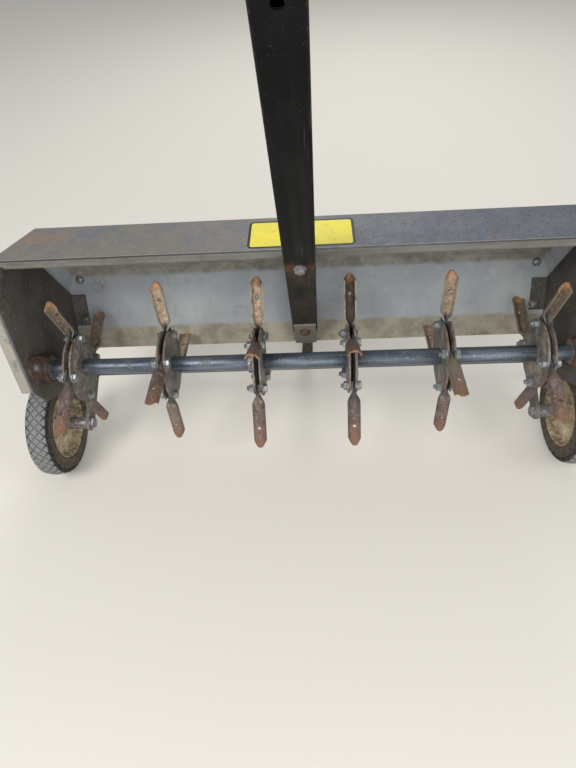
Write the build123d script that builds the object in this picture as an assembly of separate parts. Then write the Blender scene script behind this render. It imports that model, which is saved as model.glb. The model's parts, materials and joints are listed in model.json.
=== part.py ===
from build123d import *
from math import atan2, cos, degrees, hypot, radians, sin
import os

# Tow-behind lawn aerator, stored nose up: it stands on its two transport wheels and the end of its lever.
# It is drawn in its working attitude with the origin on the tine shaft, X across, Y to the rear and Z up,
# and the whole of it is turned nose up at the end. Sizes are in millimetres.

# Stored attitude
NOSE_UP = 61.0

# Hood: one folded sheet, open underneath, with sloping ends. Places are (rear, up) from the tine shaft.
SHEET = 2.5
RIM_PLACE = (-180.0, 135.0)
FRONT_FOLD = (-128.0, 226.0)
REAR_FOLD = (44.0, 226.0)
SKIRT_FOLD = (118.0, 126.0)
SKIRT_EDGE = (146.0, 89.0)
RIM_OVERHANG = 33.0
DECK_NARROWING = 47.0

# Stiffening rail lapped behind the front panel, with a slit between the two
RAIL_THICK = 3.0
RAIL_LAP = 25.0
RAIL_SLIT = 2.5
RAIL_BAND = 14.0
RAIL_END_GAP = 4.0

# End plates, which carry the tine shaft and the transport pivot
PLATE_MARGIN = 64.0
PLATE_THICK = 4.0
PLATE_TOP = 183.0
PLATE_GAP = 0.5
PLATE_FRONT = [(-222.0, 95.0), (-216.0, 72.0), (-42.0, -60.0), (12.0, -62.0)]
PLATE_FLANGE = 20.0
PLATE_TAB_WIDTH = 30.0
PLATE_TAB_THICK = 3.0
PLATE_TAB_END = 6.0
PIVOT_LOBE_RADIUS = 28.0
LOBE_FOOT = (0.55, -0.83)
SHAFT_HOLE_GAP = 4.0

# Tine shaft and its bearings
SHAFT_RADIUS = 9.525
SHAFT_OUT = 10.0
RUNNING_GAP = 0.05
BEARING_RADIUS = 28.0
BEARING_DEPTH = 10.0
BEARING_FLANGE_LENGTH = 156.0
BEARING_FLANGE_WIDTH = 44.0
BEARING_FLANGE_THICK = 4.0
BEARING_TURN = 15.0
THRUST_GAP = 1.5

# Tine wheels: four spoons between two round plates, with tube spacers along the shaft.
# The necks pass the shaft at one side, and each crosses the next in the other of two layers.
# A row's place counts pitches from the middle, and its turn is in degrees from the rear.
TINE_PITCH = 172.0
TINE_WHEELS = [
    {"number": 1, "place": -2.5, "turn": 81.0},
    {"number": 2, "place": -1.5, "turn": 59.0},
    {"number": 3, "place": -0.5, "turn": 31.0},
    {"number": 4, "place": 0.5, "turn": 31.0},
    {"number": 5, "place": 1.5, "turn": 59.0},
    {"number": 6, "place": 2.5, "turn": 81.0},
]
SPOONS_PER_WHEEL = 4
HUB_RADIUS = 64.0
HUB_THICK = 4.0
SPACER_RADIUS = 15.0
FITTED_GAP = 0.05
NECK_THICK = 4.0
NECK_WIDTH = 20.0
NECK_START = -52.0
SPOON_OFFSET = 40.0
SPOON_START = 51.0
SPOON_FULL = 70.0
SPOON_TIP = 153.0
SPOON_POINT = 13.0
SPOON_POINT_WIDTH = 8.0
SPOON_RADIUS = 12.0
SPOON_ROOT_RADIUS = 5.0
SPOON_WALL = 3.0
SPOON_HOLE_PLACE = 115.0
SPOON_HOLE_RADIUS = 3.0

# Tongue: square tube under the hood, bolted at the front rim and the rear skirt
TONGUE_SIZE = 50.0
TONGUE_WALL = 3.0
TONGUE_CORNER = 6.0
TONGUE_BOTTOM = 88.0
TONGUE_FRONT = -870.0
TONGUE_REAR = 92.0
NOTCH_GAP = 1.0
NOTCH_DEPTH = 60.0
TONGUE_HOLE_RADIUS = 6.0
TONGUE_HOLES = [-670.0, -205.0, 72.0]
STRAP_THICK = 4.0
STRAP_WIDTH = 44.0
STRAP_FRONT = 40.0
STRAP_TAB = 34.0

# Hitch clevis at the tongue's front end
CLEVIS_THICK = 6.0
CLEVIS_WIDTH = 50.0
CLEVIS_LAP = 90.0
CLEVIS_REACH = 80.0
HITCH_HOLE_INSET = 25.0
HITCH_HOLE_RADIUS = 8.1

# Transport pivot, arms and wheels
PIVOT_PLACE = (175.0, 47.0)
PIVOT_TUBE_RADIUS = 14.0
PIVOT_TUBE_WALL = 3.0
PIVOT_TUBE_GAP = 5.0
PIVOT_PLUG = 30.0
PIVOT_PIN_RADIUS = 8.0
PIVOT_PIN_OUT = 10.0
ARM_LENGTH = 122.0
ARM_LEAN = 2.8
ARM_PLATE_GAP = 16.0
ARM_THICK = 8.0
ARM_WIDTH = 34.0
AXLE_RADIUS = 8.0
AXLE_NUT_RADIUS = 13.0
AXLE_NUT_THICK = 8.0
WHEEL_RADIUS = 110.0
WHEEL_WIDTH = 46.0
WHEEL_PLATE_GAP = 22.0
WHEEL_SIDE_GAP = 1.0
TREAD_CROWN = 2.0
SHOULDER = 8.0
SHOULDER_BULGE = 0.7
RIM_RADIUS = 74.0
RIM_WALL = 5.0
RIM_WIDTH = 42.0
RIM_WEB = 5.0
HUB_TUBE_RADIUS = 19.0
STOP_PIN_RADIUS = 6.0
STOP_PIN_DROP = 45.0
STOP_PIN_GAP = 0.3

# Lever: bent tube on the pivot tube, with a rubber grip whose round end rests on the ground
LEVER_RADIUS = 12.5
LEVER_WALL = 2.5
LEVER_ROOT_ANGLE = 32.0
LEVER_ROOT_LENGTH = 265.0
LEVER_BEND_RADIUS = 70.0
LEVER_REACH = 690.0
GRIP_RADIUS = 16.0
GRIP_LENGTH = 125.0
GRIP_BORE_GAP = 0.05

# How far a cutting tool reaches past the face it cuts
CUT_PAST = 1.0


def stored(place):
    """A (rear, up) place of the working attitude, turned nose up, still from the tine shaft."""
    turn = radians(NOSE_UP)
    return (place[0] * cos(turn) + place[1] * sin(turn), place[1] * cos(turn) - place[0] * sin(turn))


def working(place):
    """The other way round: a stored (rear, up) place in the working attitude."""
    turn = radians(NOSE_UP)
    return (place[0] * cos(turn) - place[1] * sin(turn), place[1] * cos(turn) + place[0] * sin(turn))


def along(start, end, distance, inward=0.0):
    """A place on the line from start to end, moved inward to the right of that line."""
    length = hypot(end[0] - start[0], end[1] - start[1])
    run = ((end[0] - start[0]) / length, (end[1] - start[1]) / length)
    return (start[0] + run[0] * distance + run[1] * inward, start[1] + run[1] * distance - run[0] * inward)


def crossing(a, b, c, d):
    """Where line a-b meets line c-d."""
    abx, aby = b[0] - a[0], b[1] - a[1]
    cdx, cdy = d[0] - c[0], d[1] - c[1]
    share = ((c[0] - a[0]) * cdy - (c[1] - a[1]) * cdx) / (abx * cdy - aby * cdx)
    return (a[0] + abx * share, a[1] + aby * share)


def inset(line, depth):
    """An open line of places, moved inward by a depth."""
    moved = []
    for start, end in zip(line, line[1:]):
        length = hypot(end[0] - start[0], end[1] - start[1])
        moved.append((along(start, end, 0.0, depth), along(start, end, length, depth)))
    middle = [crossing(*first, *second) for first, second in zip(moved, moved[1:])]
    return [moved[0][0], *middle, moved[-1][1]]


def side_plate(places, x_from, x_to):
    """A closed outline of (rear, up) places, as thick as from one X to another."""
    low, high = sorted((x_from, x_to))
    face = Plane.YZ.offset(low) * make_face(Polyline(*places, close=True))
    return extrude(face, amount=high - low, dir=(1, 0, 0))


def cross_rod(place, radius, x_from, x_to):
    """A round bar along X."""
    low, high = sorted((x_from, x_to))
    face = Plane(origin=(low, place[0], place[1]), x_dir=(0, 1, 0), z_dir=(1, 0, 0)) * Circle(radius)
    return extrude(face, amount=high - low, dir=(1, 0, 0))


def cross_block(x_low, x_high, y_low, y_high, z_low, z_high):
    """A plain block between its low and high sides."""
    return Pos((x_low + x_high) / 2, (y_low + y_high) / 2, (z_low + z_high) / 2) * Box(
        x_high - x_low, y_high - y_low, z_high - z_low)


PLATE_FACE = max(row["place"] for row in TINE_WHEELS) * TINE_PITCH + PLATE_MARGIN
PLATE_OUTER = PLATE_FACE + PLATE_THICK
NECK_LAYER = NECK_THICK / 2 + FITTED_GAP
HUB_FACE = NECK_THICK + FITTED_GAP
RIM_HALF_WIDTH = PLATE_FACE + RIM_OVERHANG
DECK_HALF_WIDTH = RIM_HALF_WIDTH - DECK_NARROWING
HOOD_LINE = [RIM_PLACE, FRONT_FOLD, REAR_FOLD, SKIRT_FOLD, SKIRT_EDGE]
FRONT_LENGTH = hypot(RIM_PLACE[0] - FRONT_FOLD[0], RIM_PLACE[1] - FRONT_FOLD[1])
END_SLOPE = DECK_NARROWING / (FRONT_FOLD[1] - RIM_PLACE[1])
RAIL_FOOT = FRONT_LENGTH + RAIL_SLIT + RAIL_BAND
RAIL_BACK = SHEET + RAIL_THICK
TONGUE_TOP = TONGUE_BOTTOM + TONGUE_SIZE
AXLE_PLACE = (PIVOT_PLACE[0] - ARM_LENGTH * sin(radians(ARM_LEAN)),
              PIVOT_PLACE[1] - ARM_LENGTH * cos(radians(ARM_LEAN)))
GROUND = stored(AXLE_PLACE)[1] - WHEEL_RADIUS
ARM_FACE = PLATE_FACE - ARM_PLATE_GAP
WHEEL_INNER = PLATE_OUTER + WHEEL_PLATE_GAP
WHEEL_MIDDLE = WHEEL_INNER + WHEEL_WIDTH / 2
WHEEL_OUTER = WHEEL_INNER + WHEEL_WIDTH
HITCH_PLACE = (TONGUE_FRONT - CLEVIS_REACH + HITCH_HOLE_INSET, TONGUE_BOTTOM + TONGUE_SIZE / 2)


def hood_block(depth):
    """The space under the hood's outside, or under its inside when a depth is given."""
    line = inset(HOOD_LINE, depth)
    if depth:
        skirt_length = hypot(line[-1][0] - line[-2][0], line[-1][1] - line[-2][1])
        line[0] = along(line[1], line[0], FRONT_LENGTH + CUT_PAST)
        line[-1] = along(line[-2], line[-1], skirt_length + CUT_PAST)
    top = DECK_HALF_WIDTH - depth * hypot(1, END_SLOPE)
    low = RIM_HALF_WIDTH - depth
    bend = FRONT_FOLD[1] - (low - top) / END_SLOPE
    ends = Plane.XZ * make_face(Polyline((-low, 0), (-low, bend), (-top, FRONT_FOLD[1]), (top, FRONT_FOLD[1]),
                                         (low, bend), (low, 0), close=True))
    return side_plate(line, -RIM_HALF_WIDTH, RIM_HALF_WIDTH) & extrude(ends, amount=RIM_HALF_WIDTH, both=True)


def tongue_notch():
    """The cut in the front rim that the tongue passes through."""
    half = TONGUE_SIZE / 2 + NOTCH_GAP
    return cross_block(-half, half, RIM_PLACE[0] - NOTCH_DEPTH, RIM_PLACE[0] + NOTCH_DEPTH, 0, TONGUE_TOP)


def hood():
    return hood_block(0.0) - hood_block(SHEET) - tongue_notch()


def behind_front(distance, inward):
    """A place on the front panel, so far down from its fold and so far behind its outer face."""
    return along(FRONT_FOLD, RIM_PLACE, distance, -inward)


def front_rail():
    """Lapped leg behind the front panel and the band below it, which show a slit between them."""
    lap_start = FRONT_LENGTH - RAIL_LAP
    band_start = FRONT_LENGTH + RAIL_SLIT
    half = RIM_HALF_WIDTH - SHEET - RAIL_LAP * END_SLOPE - RAIL_END_GAP
    lap = [behind_front(lap_start, SHEET), behind_front(RAIL_FOOT, SHEET), behind_front(RAIL_FOOT, RAIL_BACK),
           behind_front(lap_start, RAIL_BACK)]
    band = [behind_front(band_start, 0), behind_front(RAIL_FOOT, 0), behind_front(RAIL_FOOT, RAIL_BACK),
            behind_front(band_start, RAIL_BACK)]
    rail = side_plate(lap, -half, half) + side_plate(band, -RIM_HALF_WIDTH, RIM_HALF_WIDTH)
    return rail - tongue_notch()


def end_plate(side):
    """Flat plate with a flange turned out along its lower front edge and a tab bolted to the rear panel."""
    inner = inset(HOOD_LINE, SHEET)
    level = [(RIM_PLACE[0], PLATE_TOP), (SKIRT_EDGE[0], PLATE_TOP)]
    front_top = crossing(behind_front(0, RAIL_BACK), behind_front(RAIL_FOOT, RAIL_BACK), *level)
    under_rail = [behind_front(RAIL_FOOT + PLATE_GAP, RAIL_BACK), behind_front(RAIL_FOOT + PLATE_GAP, 0)]
    rear_top = crossing(inner[2], inner[3], *level)
    under_skirt = (inner[4][0], inner[4][1] - SHEET)
    lobe = PIVOT_LOBE_RADIUS
    tail = [(PIVOT_PLACE[0] + lobe * LOBE_FOOT[0], PIVOT_PLACE[1] + lobe * LOBE_FOOT[1]),
            (PIVOT_PLACE[0], PIVOT_PLACE[1] + lobe)]
    outline = [front_top, *under_rail, *PLATE_FRONT, *tail, under_skirt, inner[3], rear_top]
    plate = side_plate(outline, side * PLATE_FACE, side * PLATE_OUTER)
    plate += cross_rod(PIVOT_PLACE, lobe, side * PLATE_FACE, side * PLATE_OUTER)
    low_front, low_rear = PLATE_FRONT[1], PLATE_FRONT[2]
    edge = hypot(low_rear[0] - low_front[0], low_rear[1] - low_front[1])
    flange = [low_front, low_rear, along(low_front, low_rear, edge, -PLATE_THICK),
              along(low_front, low_rear, 0, -PLATE_THICK)]
    plate += side_plate(flange, side * PLATE_FACE, side * (PLATE_OUTER + PLATE_FLANGE))
    end = hypot(inner[3][0] - rear_top[0], inner[3][1] - rear_top[1]) - PLATE_TAB_END
    tab = [along(rear_top, inner[3], 0, inward) for inward in (0, PLATE_TAB_THICK)]
    tab += [along(rear_top, inner[3], end, inward) for inward in (PLATE_TAB_THICK, 0)]
    plate += side_plate(tab, side * (PLATE_FACE - PLATE_TAB_WIDTH), side * PLATE_OUTER)
    holes = [((0, 0), SHAFT_RADIUS + SHAFT_HOLE_GAP), (PIVOT_PLACE, PIVOT_PIN_RADIUS + RUNNING_GAP)]
    for place, radius in holes:
        plate -= cross_rod(place, radius, side * PLATE_FACE, side * PLATE_OUTER)
    return plate


def bearing(side):
    """Round housing on a long two-bolt flange, on the inner face of the end plate."""
    flange_plane = Plane(origin=(side * PLATE_FACE, 0, 0), x_dir=(0, 1, 0), z_dir=(1, 0, 0))
    outline = Rot(0, 0, BEARING_TURN) * SlotOverall(BEARING_FLANGE_LENGTH, BEARING_FLANGE_WIDTH)
    flange = extrude(flange_plane * outline, amount=BEARING_FLANGE_THICK, dir=(-side, 0, 0))
    front = PLATE_FACE - BEARING_DEPTH
    housing = cross_rod((0, 0), BEARING_RADIUS, side * front, side * PLATE_FACE)
    bore = cross_rod((0, 0), SHAFT_RADIUS + RUNNING_GAP, side * front, side * PLATE_FACE)
    return flange + housing - bore


def tongue():
    """Square tube with rounded corners and drilled bolt holes."""
    inside = TONGUE_SIZE - 2 * TONGUE_WALL
    section = RectangleRounded(TONGUE_SIZE, TONGUE_SIZE, TONGUE_CORNER)
    section -= RectangleRounded(inside, inside, TONGUE_CORNER - TONGUE_WALL)
    start = Plane(origin=(0, TONGUE_FRONT, TONGUE_BOTTOM + TONGUE_SIZE / 2), x_dir=(1, 0, 0), z_dir=(0, 1, 0))
    tube = extrude(start * section, amount=TONGUE_REAR - TONGUE_FRONT, dir=(0, 1, 0))
    drill = Cylinder(TONGUE_HOLE_RADIUS, TONGUE_SIZE + CUT_PAST)
    for rear in TONGUE_HOLES:
        tube -= Pos(0, rear, TONGUE_BOTTOM + TONGUE_SIZE / 2) * drill
    return tube


def tongue_strap():
    """Flat strap under the tongue's rear end, turned up against the inside of the rear skirt."""
    inner = inset(HOOD_LINE, SHEET)
    low, high = TONGUE_BOTTOM - STRAP_THICK, TONGUE_BOTTOM
    skirt_foot = crossing(inner[3], inner[4], (0.0, low), (1.0, low))
    tab_top = along(skirt_foot, inner[3], STRAP_TAB)
    tab_inner = along(skirt_foot, inner[3], STRAP_TAB, -STRAP_THICK)
    foot_inner = along(skirt_foot, inner[3], 0, -STRAP_THICK)
    bend = crossing(tab_inner, foot_inner, (0.0, high), (1.0, high))
    outline = [(STRAP_FRONT, low), skirt_foot, tab_top, tab_inner, bend, (STRAP_FRONT, high)]
    return side_plate(outline, -STRAP_WIDTH / 2, STRAP_WIDTH / 2)


def hitch_clevis(lower):
    """One of the two ears on the tongue's front end, with the hole for the hitch pin."""
    low = TONGUE_BOTTOM - CLEVIS_THICK if lower else TONGUE_TOP
    front = TONGUE_FRONT - CLEVIS_REACH
    rear = TONGUE_FRONT + CLEVIS_LAP
    half = CLEVIS_WIDTH / 2
    middle = low + CLEVIS_THICK / 2
    ear = cross_block(-half, half, front + half, rear, low, low + CLEVIS_THICK)
    ear += Pos(0, front + half, middle) * Cylinder(half, CLEVIS_THICK)
    return ear - Pos(0, HITCH_PLACE[0], middle) * Cylinder(HITCH_HOLE_RADIUS, CLEVIS_THICK + CUT_PAST)


def tine_hub(middle):
    """The two round plates of one tine wheel."""
    plates = []
    for near in (middle - HUB_FACE - HUB_THICK, middle + HUB_FACE):
        bore = cross_rod((0, 0), SHAFT_RADIUS + FITTED_GAP, near, near + HUB_THICK)
        plates.append((cross_rod((0, 0), HUB_RADIUS, near, near + HUB_THICK) - bore).solid())
    return Compound(plates)


def spoon():
    """One coring spoon beside the shaft, along +Y: a flat neck, then a half tube with a blunt point, open to +Z."""
    half_shell = [(SPOON_ROOT_RADIUS, SPOON_START), (SPOON_RADIUS, SPOON_FULL), (SPOON_RADIUS, SPOON_TIP),
                  (SPOON_RADIUS - SPOON_WALL, SPOON_TIP), (SPOON_RADIUS - SPOON_WALL, SPOON_FULL),
                  (SPOON_ROOT_RADIUS - SPOON_WALL, SPOON_START)]
    shell = revolve(make_face(Polyline(*half_shell, close=True)), axis=Axis.Y, revolution_arc=180)
    wide = SPOON_RADIUS + CUT_PAST
    shoulder = SPOON_TIP - SPOON_POINT
    point = make_face(Polyline((-wide, 0), (wide, 0), (wide, shoulder), (SPOON_POINT_WIDTH / 2, SPOON_TIP),
                               (-SPOON_POINT_WIDTH / 2, SPOON_TIP), (-wide, shoulder), close=True))
    shell &= extrude(point, amount=wide, both=True)
    half = NECK_WIDTH / 2
    outline = [(NECK_START, -half), (NECK_START, half), (SPOON_START, half),
               (SPOON_FULL, SPOON_WALL - SPOON_RADIUS), (SPOON_START, -half)]
    neck = side_plate(outline, -NECK_THICK / 2, NECK_THICK / 2)
    hole = Pos(0, SPOON_HOLE_PLACE, 0) * Cylinder(SPOON_HOLE_RADIUS, 2 * wide)
    return Pos(0, 0, -SPOON_OFFSET) * (shell + neck - hole)


def spoons(middle, turn):
    """The spoons of one tine wheel, evenly round the shaft, every other one in the outer layer."""
    one = spoon().solid()
    step = 360.0 / SPOONS_PER_WHEEL
    outward = NECK_LAYER if middle > 0 else -NECK_LAYER
    places = [Pos(middle + outward * (-1) ** (number + 1), 0, 0) * Rot(turn + step * number, 0, 0)
              for number in range(SPOONS_PER_WHEEL)]
    return Compound([place * one for place in places])


def tine_shaft():
    reach = PLATE_OUTER + SHAFT_OUT
    return cross_rod((0, 0), SHAFT_RADIUS, -reach, reach)


def shaft_spacers():
    """Tubes that hold the tine wheels apart, and the two that keep the reel between its bearings."""
    reach = HUB_FACE + HUB_THICK
    stop = PLATE_FACE - BEARING_DEPTH - THRUST_GAP
    middles = [row["place"] * TINE_PITCH for row in TINE_WHEELS]
    starts = [-stop, *[middle + reach for middle in middles]]
    ends = [*[middle - reach for middle in middles], stop]
    return Compound([
        (cross_rod((0, 0), SPACER_RADIUS, low, high) - cross_rod((0, 0), SHAFT_RADIUS + FITTED_GAP, low, high)).solid()
        for low, high in zip(starts, ends)])


def pivot_tube():
    """Cross tube of the transport axle, with the pins that turn in the end plates."""
    reach = PLATE_FACE - PIVOT_TUBE_GAP
    plug = reach - PIVOT_PLUG
    tube = cross_rod(PIVOT_PLACE, PIVOT_TUBE_RADIUS, -reach, reach)
    tube -= cross_rod(PIVOT_PLACE, PIVOT_TUBE_RADIUS - PIVOT_TUBE_WALL, -plug, plug)
    for side in (-1, 1):
        tube += cross_rod(PIVOT_PLACE, PIVOT_PIN_RADIUS, side * reach, side * (PLATE_OUTER + PIVOT_PIN_OUT))
    return tube


def wheel_arm(side):
    """Flat arm from the cross tube down to the axle."""
    lean = degrees(atan2(AXLE_PLACE[1] - PIVOT_PLACE[1], AXLE_PLACE[0] - PIVOT_PLACE[0]))
    middle = ((AXLE_PLACE[0] + PIVOT_PLACE[0]) / 2, (AXLE_PLACE[1] + PIVOT_PLACE[1]) / 2)
    plane = Plane(origin=(side * ARM_FACE, *middle), x_dir=(0, 1, 0), z_dir=(1, 0, 0))
    outline = Rot(0, 0, lean) * SlotCenterToCenter(ARM_LENGTH, ARM_WIDTH)
    arm = extrude(plane * outline, amount=ARM_THICK, dir=(-side, 0, 0))
    inner = ARM_FACE - ARM_THICK
    for place, radius in ((PIVOT_PLACE, PIVOT_TUBE_RADIUS), (AXLE_PLACE, AXLE_RADIUS)):
        arm -= cross_rod(place, radius + FITTED_GAP, side * inner, side * ARM_FACE)
    return arm


def axle(side):
    """Axle bolt with its inner nut, the sleeve that keeps the wheel off the arm, and the outer nut."""
    inner = ARM_FACE - ARM_THICK
    outer = WHEEL_OUTER + WHEEL_SIDE_GAP
    near, far = inner - AXLE_NUT_THICK, outer + AXLE_NUT_THICK
    bolt = cross_rod(AXLE_PLACE, AXLE_RADIUS, side * near, side * far)
    bolt += cross_rod(AXLE_PLACE, AXLE_NUT_RADIUS, side * near, side * inner)
    bolt += cross_rod(AXLE_PLACE, AXLE_NUT_RADIUS, side * ARM_FACE, side * (WHEEL_INNER - WHEEL_SIDE_GAP))
    return bolt + cross_rod(AXLE_PLACE, AXLE_NUT_RADIUS, side * outer, side * far)


def arm_stop(side):
    """Pin on the end plate that the arm rests against with the wheels down."""
    share = STOP_PIN_DROP / ARM_LENGTH
    on_arm = (PIVOT_PLACE[0] + (AXLE_PLACE[0] - PIVOT_PLACE[0]) * share,
              PIVOT_PLACE[1] + (AXLE_PLACE[1] - PIVOT_PLACE[1]) * share)
    reach = ARM_WIDTH / 2 + STOP_PIN_RADIUS + STOP_PIN_GAP
    place = (on_arm[0] - reach * cos(radians(ARM_LEAN)), on_arm[1] + reach * sin(radians(ARM_LEAN)))
    return cross_rod(place, STOP_PIN_RADIUS, side * (ARM_FACE - ARM_THICK), side * PLATE_FACE)


def about_axle(profile, side):
    """A (across, out) wheel profile turned about the axle."""
    turned = revolve(Plane.XY * make_face(profile), axis=Axis.X)
    return Pos(side * WHEEL_MIDDLE, *AXLE_PLACE) * turned


def tyre(side):
    half = WHEEL_WIDTH / 2
    edge = WHEEL_RADIUS - TREAD_CROWN
    side_top = edge - SHOULDER
    shoulder_in = half - SHOULDER
    bulge = (shoulder_in + SHOULDER * SHOULDER_BULGE, side_top + SHOULDER * SHOULDER_BULGE)
    profile = Line((-half, RIM_RADIUS), (-half, side_top))
    profile += ThreePointArc((-half, side_top), (-bulge[0], bulge[1]), (-shoulder_in, edge))
    profile += ThreePointArc((-shoulder_in, edge), (0, WHEEL_RADIUS), (shoulder_in, edge))
    profile += ThreePointArc((shoulder_in, edge), bulge, (half, side_top))
    profile += Line((half, side_top), (half, RIM_RADIUS))
    profile += Line((half, RIM_RADIUS), (-half, RIM_RADIUS))
    return about_axle(profile, side)


def rim(side):
    """Barrel, thin disc and hub tube, which turns on the axle bolt."""
    bore = AXLE_RADIUS + RUNNING_GAP
    half, web, hub = RIM_WIDTH / 2, RIM_WEB / 2, WHEEL_WIDTH / 2
    inside = RIM_RADIUS - RIM_WALL
    outer_side = [(half, RIM_RADIUS), (half, inside), (web, inside), (web, HUB_TUBE_RADIUS),
                  (hub, HUB_TUBE_RADIUS), (hub, bore)]
    inner_side = [(-across, out) for across, out in reversed(outer_side)]
    return about_axle(Polyline(*outer_side, *inner_side, close=True), side)


def lever_line():
    """Places of the lever's middle line: the pivot, its bend and the middle of the grip's round end."""
    root = radians(LEVER_ROOT_ANGLE)
    bend = (PIVOT_PLACE[0] + LEVER_ROOT_LENGTH * cos(root), PIVOT_PLACE[1] + LEVER_ROOT_LENGTH * sin(root))
    return [PIVOT_PLACE, bend, working((LEVER_REACH, GROUND + GRIP_RADIUS))]


def lever():
    start, bend, end = lever_line()
    path = FilletPolyline((0, *start), (0, *bend), (0, *end), radius=LEVER_BEND_RADIUS)
    section = Circle(LEVER_RADIUS) - Circle(LEVER_RADIUS - LEVER_WALL)
    bar = sweep(Plane(origin=path @ 0, z_dir=path % 0) * section, path=path)
    return bar - cross_rod(PIVOT_PLACE, PIVOT_TUBE_RADIUS + FITTED_GAP, -2 * LEVER_RADIUS, 2 * LEVER_RADIUS)


def lever_grip():
    """Rubber sleeve with a closed round end."""
    _, bend, end = lever_line()
    length = hypot(end[0] - bend[0], end[1] - bend[1])
    back = along(end, bend, GRIP_LENGTH)
    start = Plane(origin=(0, *back), z_dir=(0, (end[0] - bend[0]) / length, (end[1] - bend[1]) / length))
    sleeve = extrude(start * Circle(GRIP_RADIUS), amount=GRIP_LENGTH)
    bore = extrude(start * Circle(LEVER_RADIUS + GRIP_BORE_GAP), amount=GRIP_LENGTH)
    return sleeve + Pos(0, *end) * Sphere(GRIP_RADIUS) - bore


def all_nodes():
    nodes = {"hood": hood(), "front_rail": front_rail()}
    for name, side in (("left", -1), ("right", 1)):
        nodes["end_plate_" + name] = end_plate(side)
        nodes["bearing_" + name] = bearing(side)
        nodes["arm_stop_" + name] = arm_stop(side)
        nodes["wheel_arm_" + name] = wheel_arm(side)
        nodes["axle_" + name] = axle(side)
        nodes["tyre_" + name] = tyre(side)
        nodes["rim_" + name] = rim(side)
    nodes["tongue"] = tongue()
    nodes["tongue_strap"] = tongue_strap()
    nodes["hitch_ear_upper"] = hitch_clevis(False)
    nodes["hitch_ear_lower"] = hitch_clevis(True)
    nodes["tine_shaft"] = tine_shaft()
    nodes["shaft_spacers"] = shaft_spacers()
    for row in TINE_WHEELS:
        nodes["tine_hub_" + str(row["number"])] = tine_hub(row["place"] * TINE_PITCH)
        nodes["spoons_" + str(row["number"])] = spoons(row["place"] * TINE_PITCH, row["turn"])
    nodes["pivot_tube"] = pivot_tube()
    nodes["lever"] = lever()
    nodes["lever_grip"] = lever_grip()
    return nodes


def store(nodes):
    """Turns every node nose up and sets the middle of the whole on the ground at the origin."""
    turned = {name: Rot(-NOSE_UP, 0, 0) * shape for name, shape in nodes.items()}
    boxes = [shape.bounding_box() for shape in turned.values()]
    y_middle = (min(box.min.Y for box in boxes) + max(box.max.Y for box in boxes)) / 2
    shift = Pos(0, -y_middle, -GROUND)
    places = {"shaft": (0.0, 0.0), "pivot": PIVOT_PLACE, "axle": AXLE_PLACE, "hitch": HITCH_PLACE,
              "deck": ((FRONT_FOLD[0] + REAR_FOLD[0]) / 2, FRONT_FOLD[1])}
    for name, place in places.items():
        rear, up = stored(place)
        print(name, "Y", round(rear - y_middle, 3), "Z", round(up - GROUND, 3))
    high, low = max(box.max.Z for box in boxes), min(box.min.Z for box in boxes)
    print("whole Z", round(high - GROUND, 3), "low", round(low - GROUND, 3))
    return {name: shift * shape for name, shape in turned.items()}


os.makedirs("parts", exist_ok=True)
for node, solid in store(all_nodes()).items():
    export_step(solid, "parts/" + node + ".step")
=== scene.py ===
import json
from math import atan2, copysign, cos, hypot, pi, radians, sin, sqrt

import bmesh
import bpy
from mathutils import Matrix, Vector, noise


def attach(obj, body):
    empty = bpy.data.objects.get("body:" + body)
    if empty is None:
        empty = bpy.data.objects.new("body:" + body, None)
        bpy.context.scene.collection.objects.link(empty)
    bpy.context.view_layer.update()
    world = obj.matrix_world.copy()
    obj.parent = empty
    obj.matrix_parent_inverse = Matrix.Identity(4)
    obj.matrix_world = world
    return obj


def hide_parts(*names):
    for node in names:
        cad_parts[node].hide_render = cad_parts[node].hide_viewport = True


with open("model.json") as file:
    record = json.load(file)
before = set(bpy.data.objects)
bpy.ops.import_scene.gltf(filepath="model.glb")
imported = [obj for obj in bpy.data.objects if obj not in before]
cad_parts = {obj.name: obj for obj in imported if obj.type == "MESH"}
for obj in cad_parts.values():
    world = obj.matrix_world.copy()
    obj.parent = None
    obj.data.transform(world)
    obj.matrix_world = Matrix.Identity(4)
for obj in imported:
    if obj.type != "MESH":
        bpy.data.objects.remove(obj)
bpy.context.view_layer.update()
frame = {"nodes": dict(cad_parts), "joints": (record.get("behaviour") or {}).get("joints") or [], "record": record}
print("frame loaded:", len(frame["nodes"]), "nodes")

# Everything is drawn in the working attitude, in millimetres from the tine shaft: X across,
# Y rear, Z up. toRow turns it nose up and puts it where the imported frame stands.
reelJoint = next(j for j in frame["joints"] if j["name"] == "reel_spin")
deckMount = next(m for m in frame["record"]["mounts"] if m["name"] == "deck")
shaftPlace = Vector(reelJoint["pos_m"])
lean = atan2(deckMount["axis"][1], deckMount["axis"][2])
noseUp = Matrix.Rotation(-lean, 4, "X")
toRow = Matrix.Translation(shaftPlace) @ noseUp @ Matrix.Scale(0.001, 4)
unmoved = Matrix.Identity(4)
sides = {"left": -1, "right": 1}


# Mesh helpers

def linkPiece(name, data):
    piece = bpy.data.objects.new(name, data)
    bpy.context.scene.collection.objects.link(piece)
    return piece


def shadePiece(mesh, angle=32):
    mesh.shade_smooth()
    mesh.set_sharp_from_angle(angle=radians(angle))


def meshFrom(name, bm):
    mesh = bpy.data.meshes.new(name)
    bm.to_mesh(mesh)
    bm.free()
    return mesh


def pieceFrom(name, bm, place=toRow, angle=32):
    # turns a drawn bmesh into an object whose place is in its mesh
    bmesh.ops.recalc_face_normals(bm, faces=bm.faces)
    bm.transform(place)
    mesh = meshFrom(name, bm)
    if angle:
        shadePiece(mesh, angle)
    return linkPiece(name, mesh)


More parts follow.
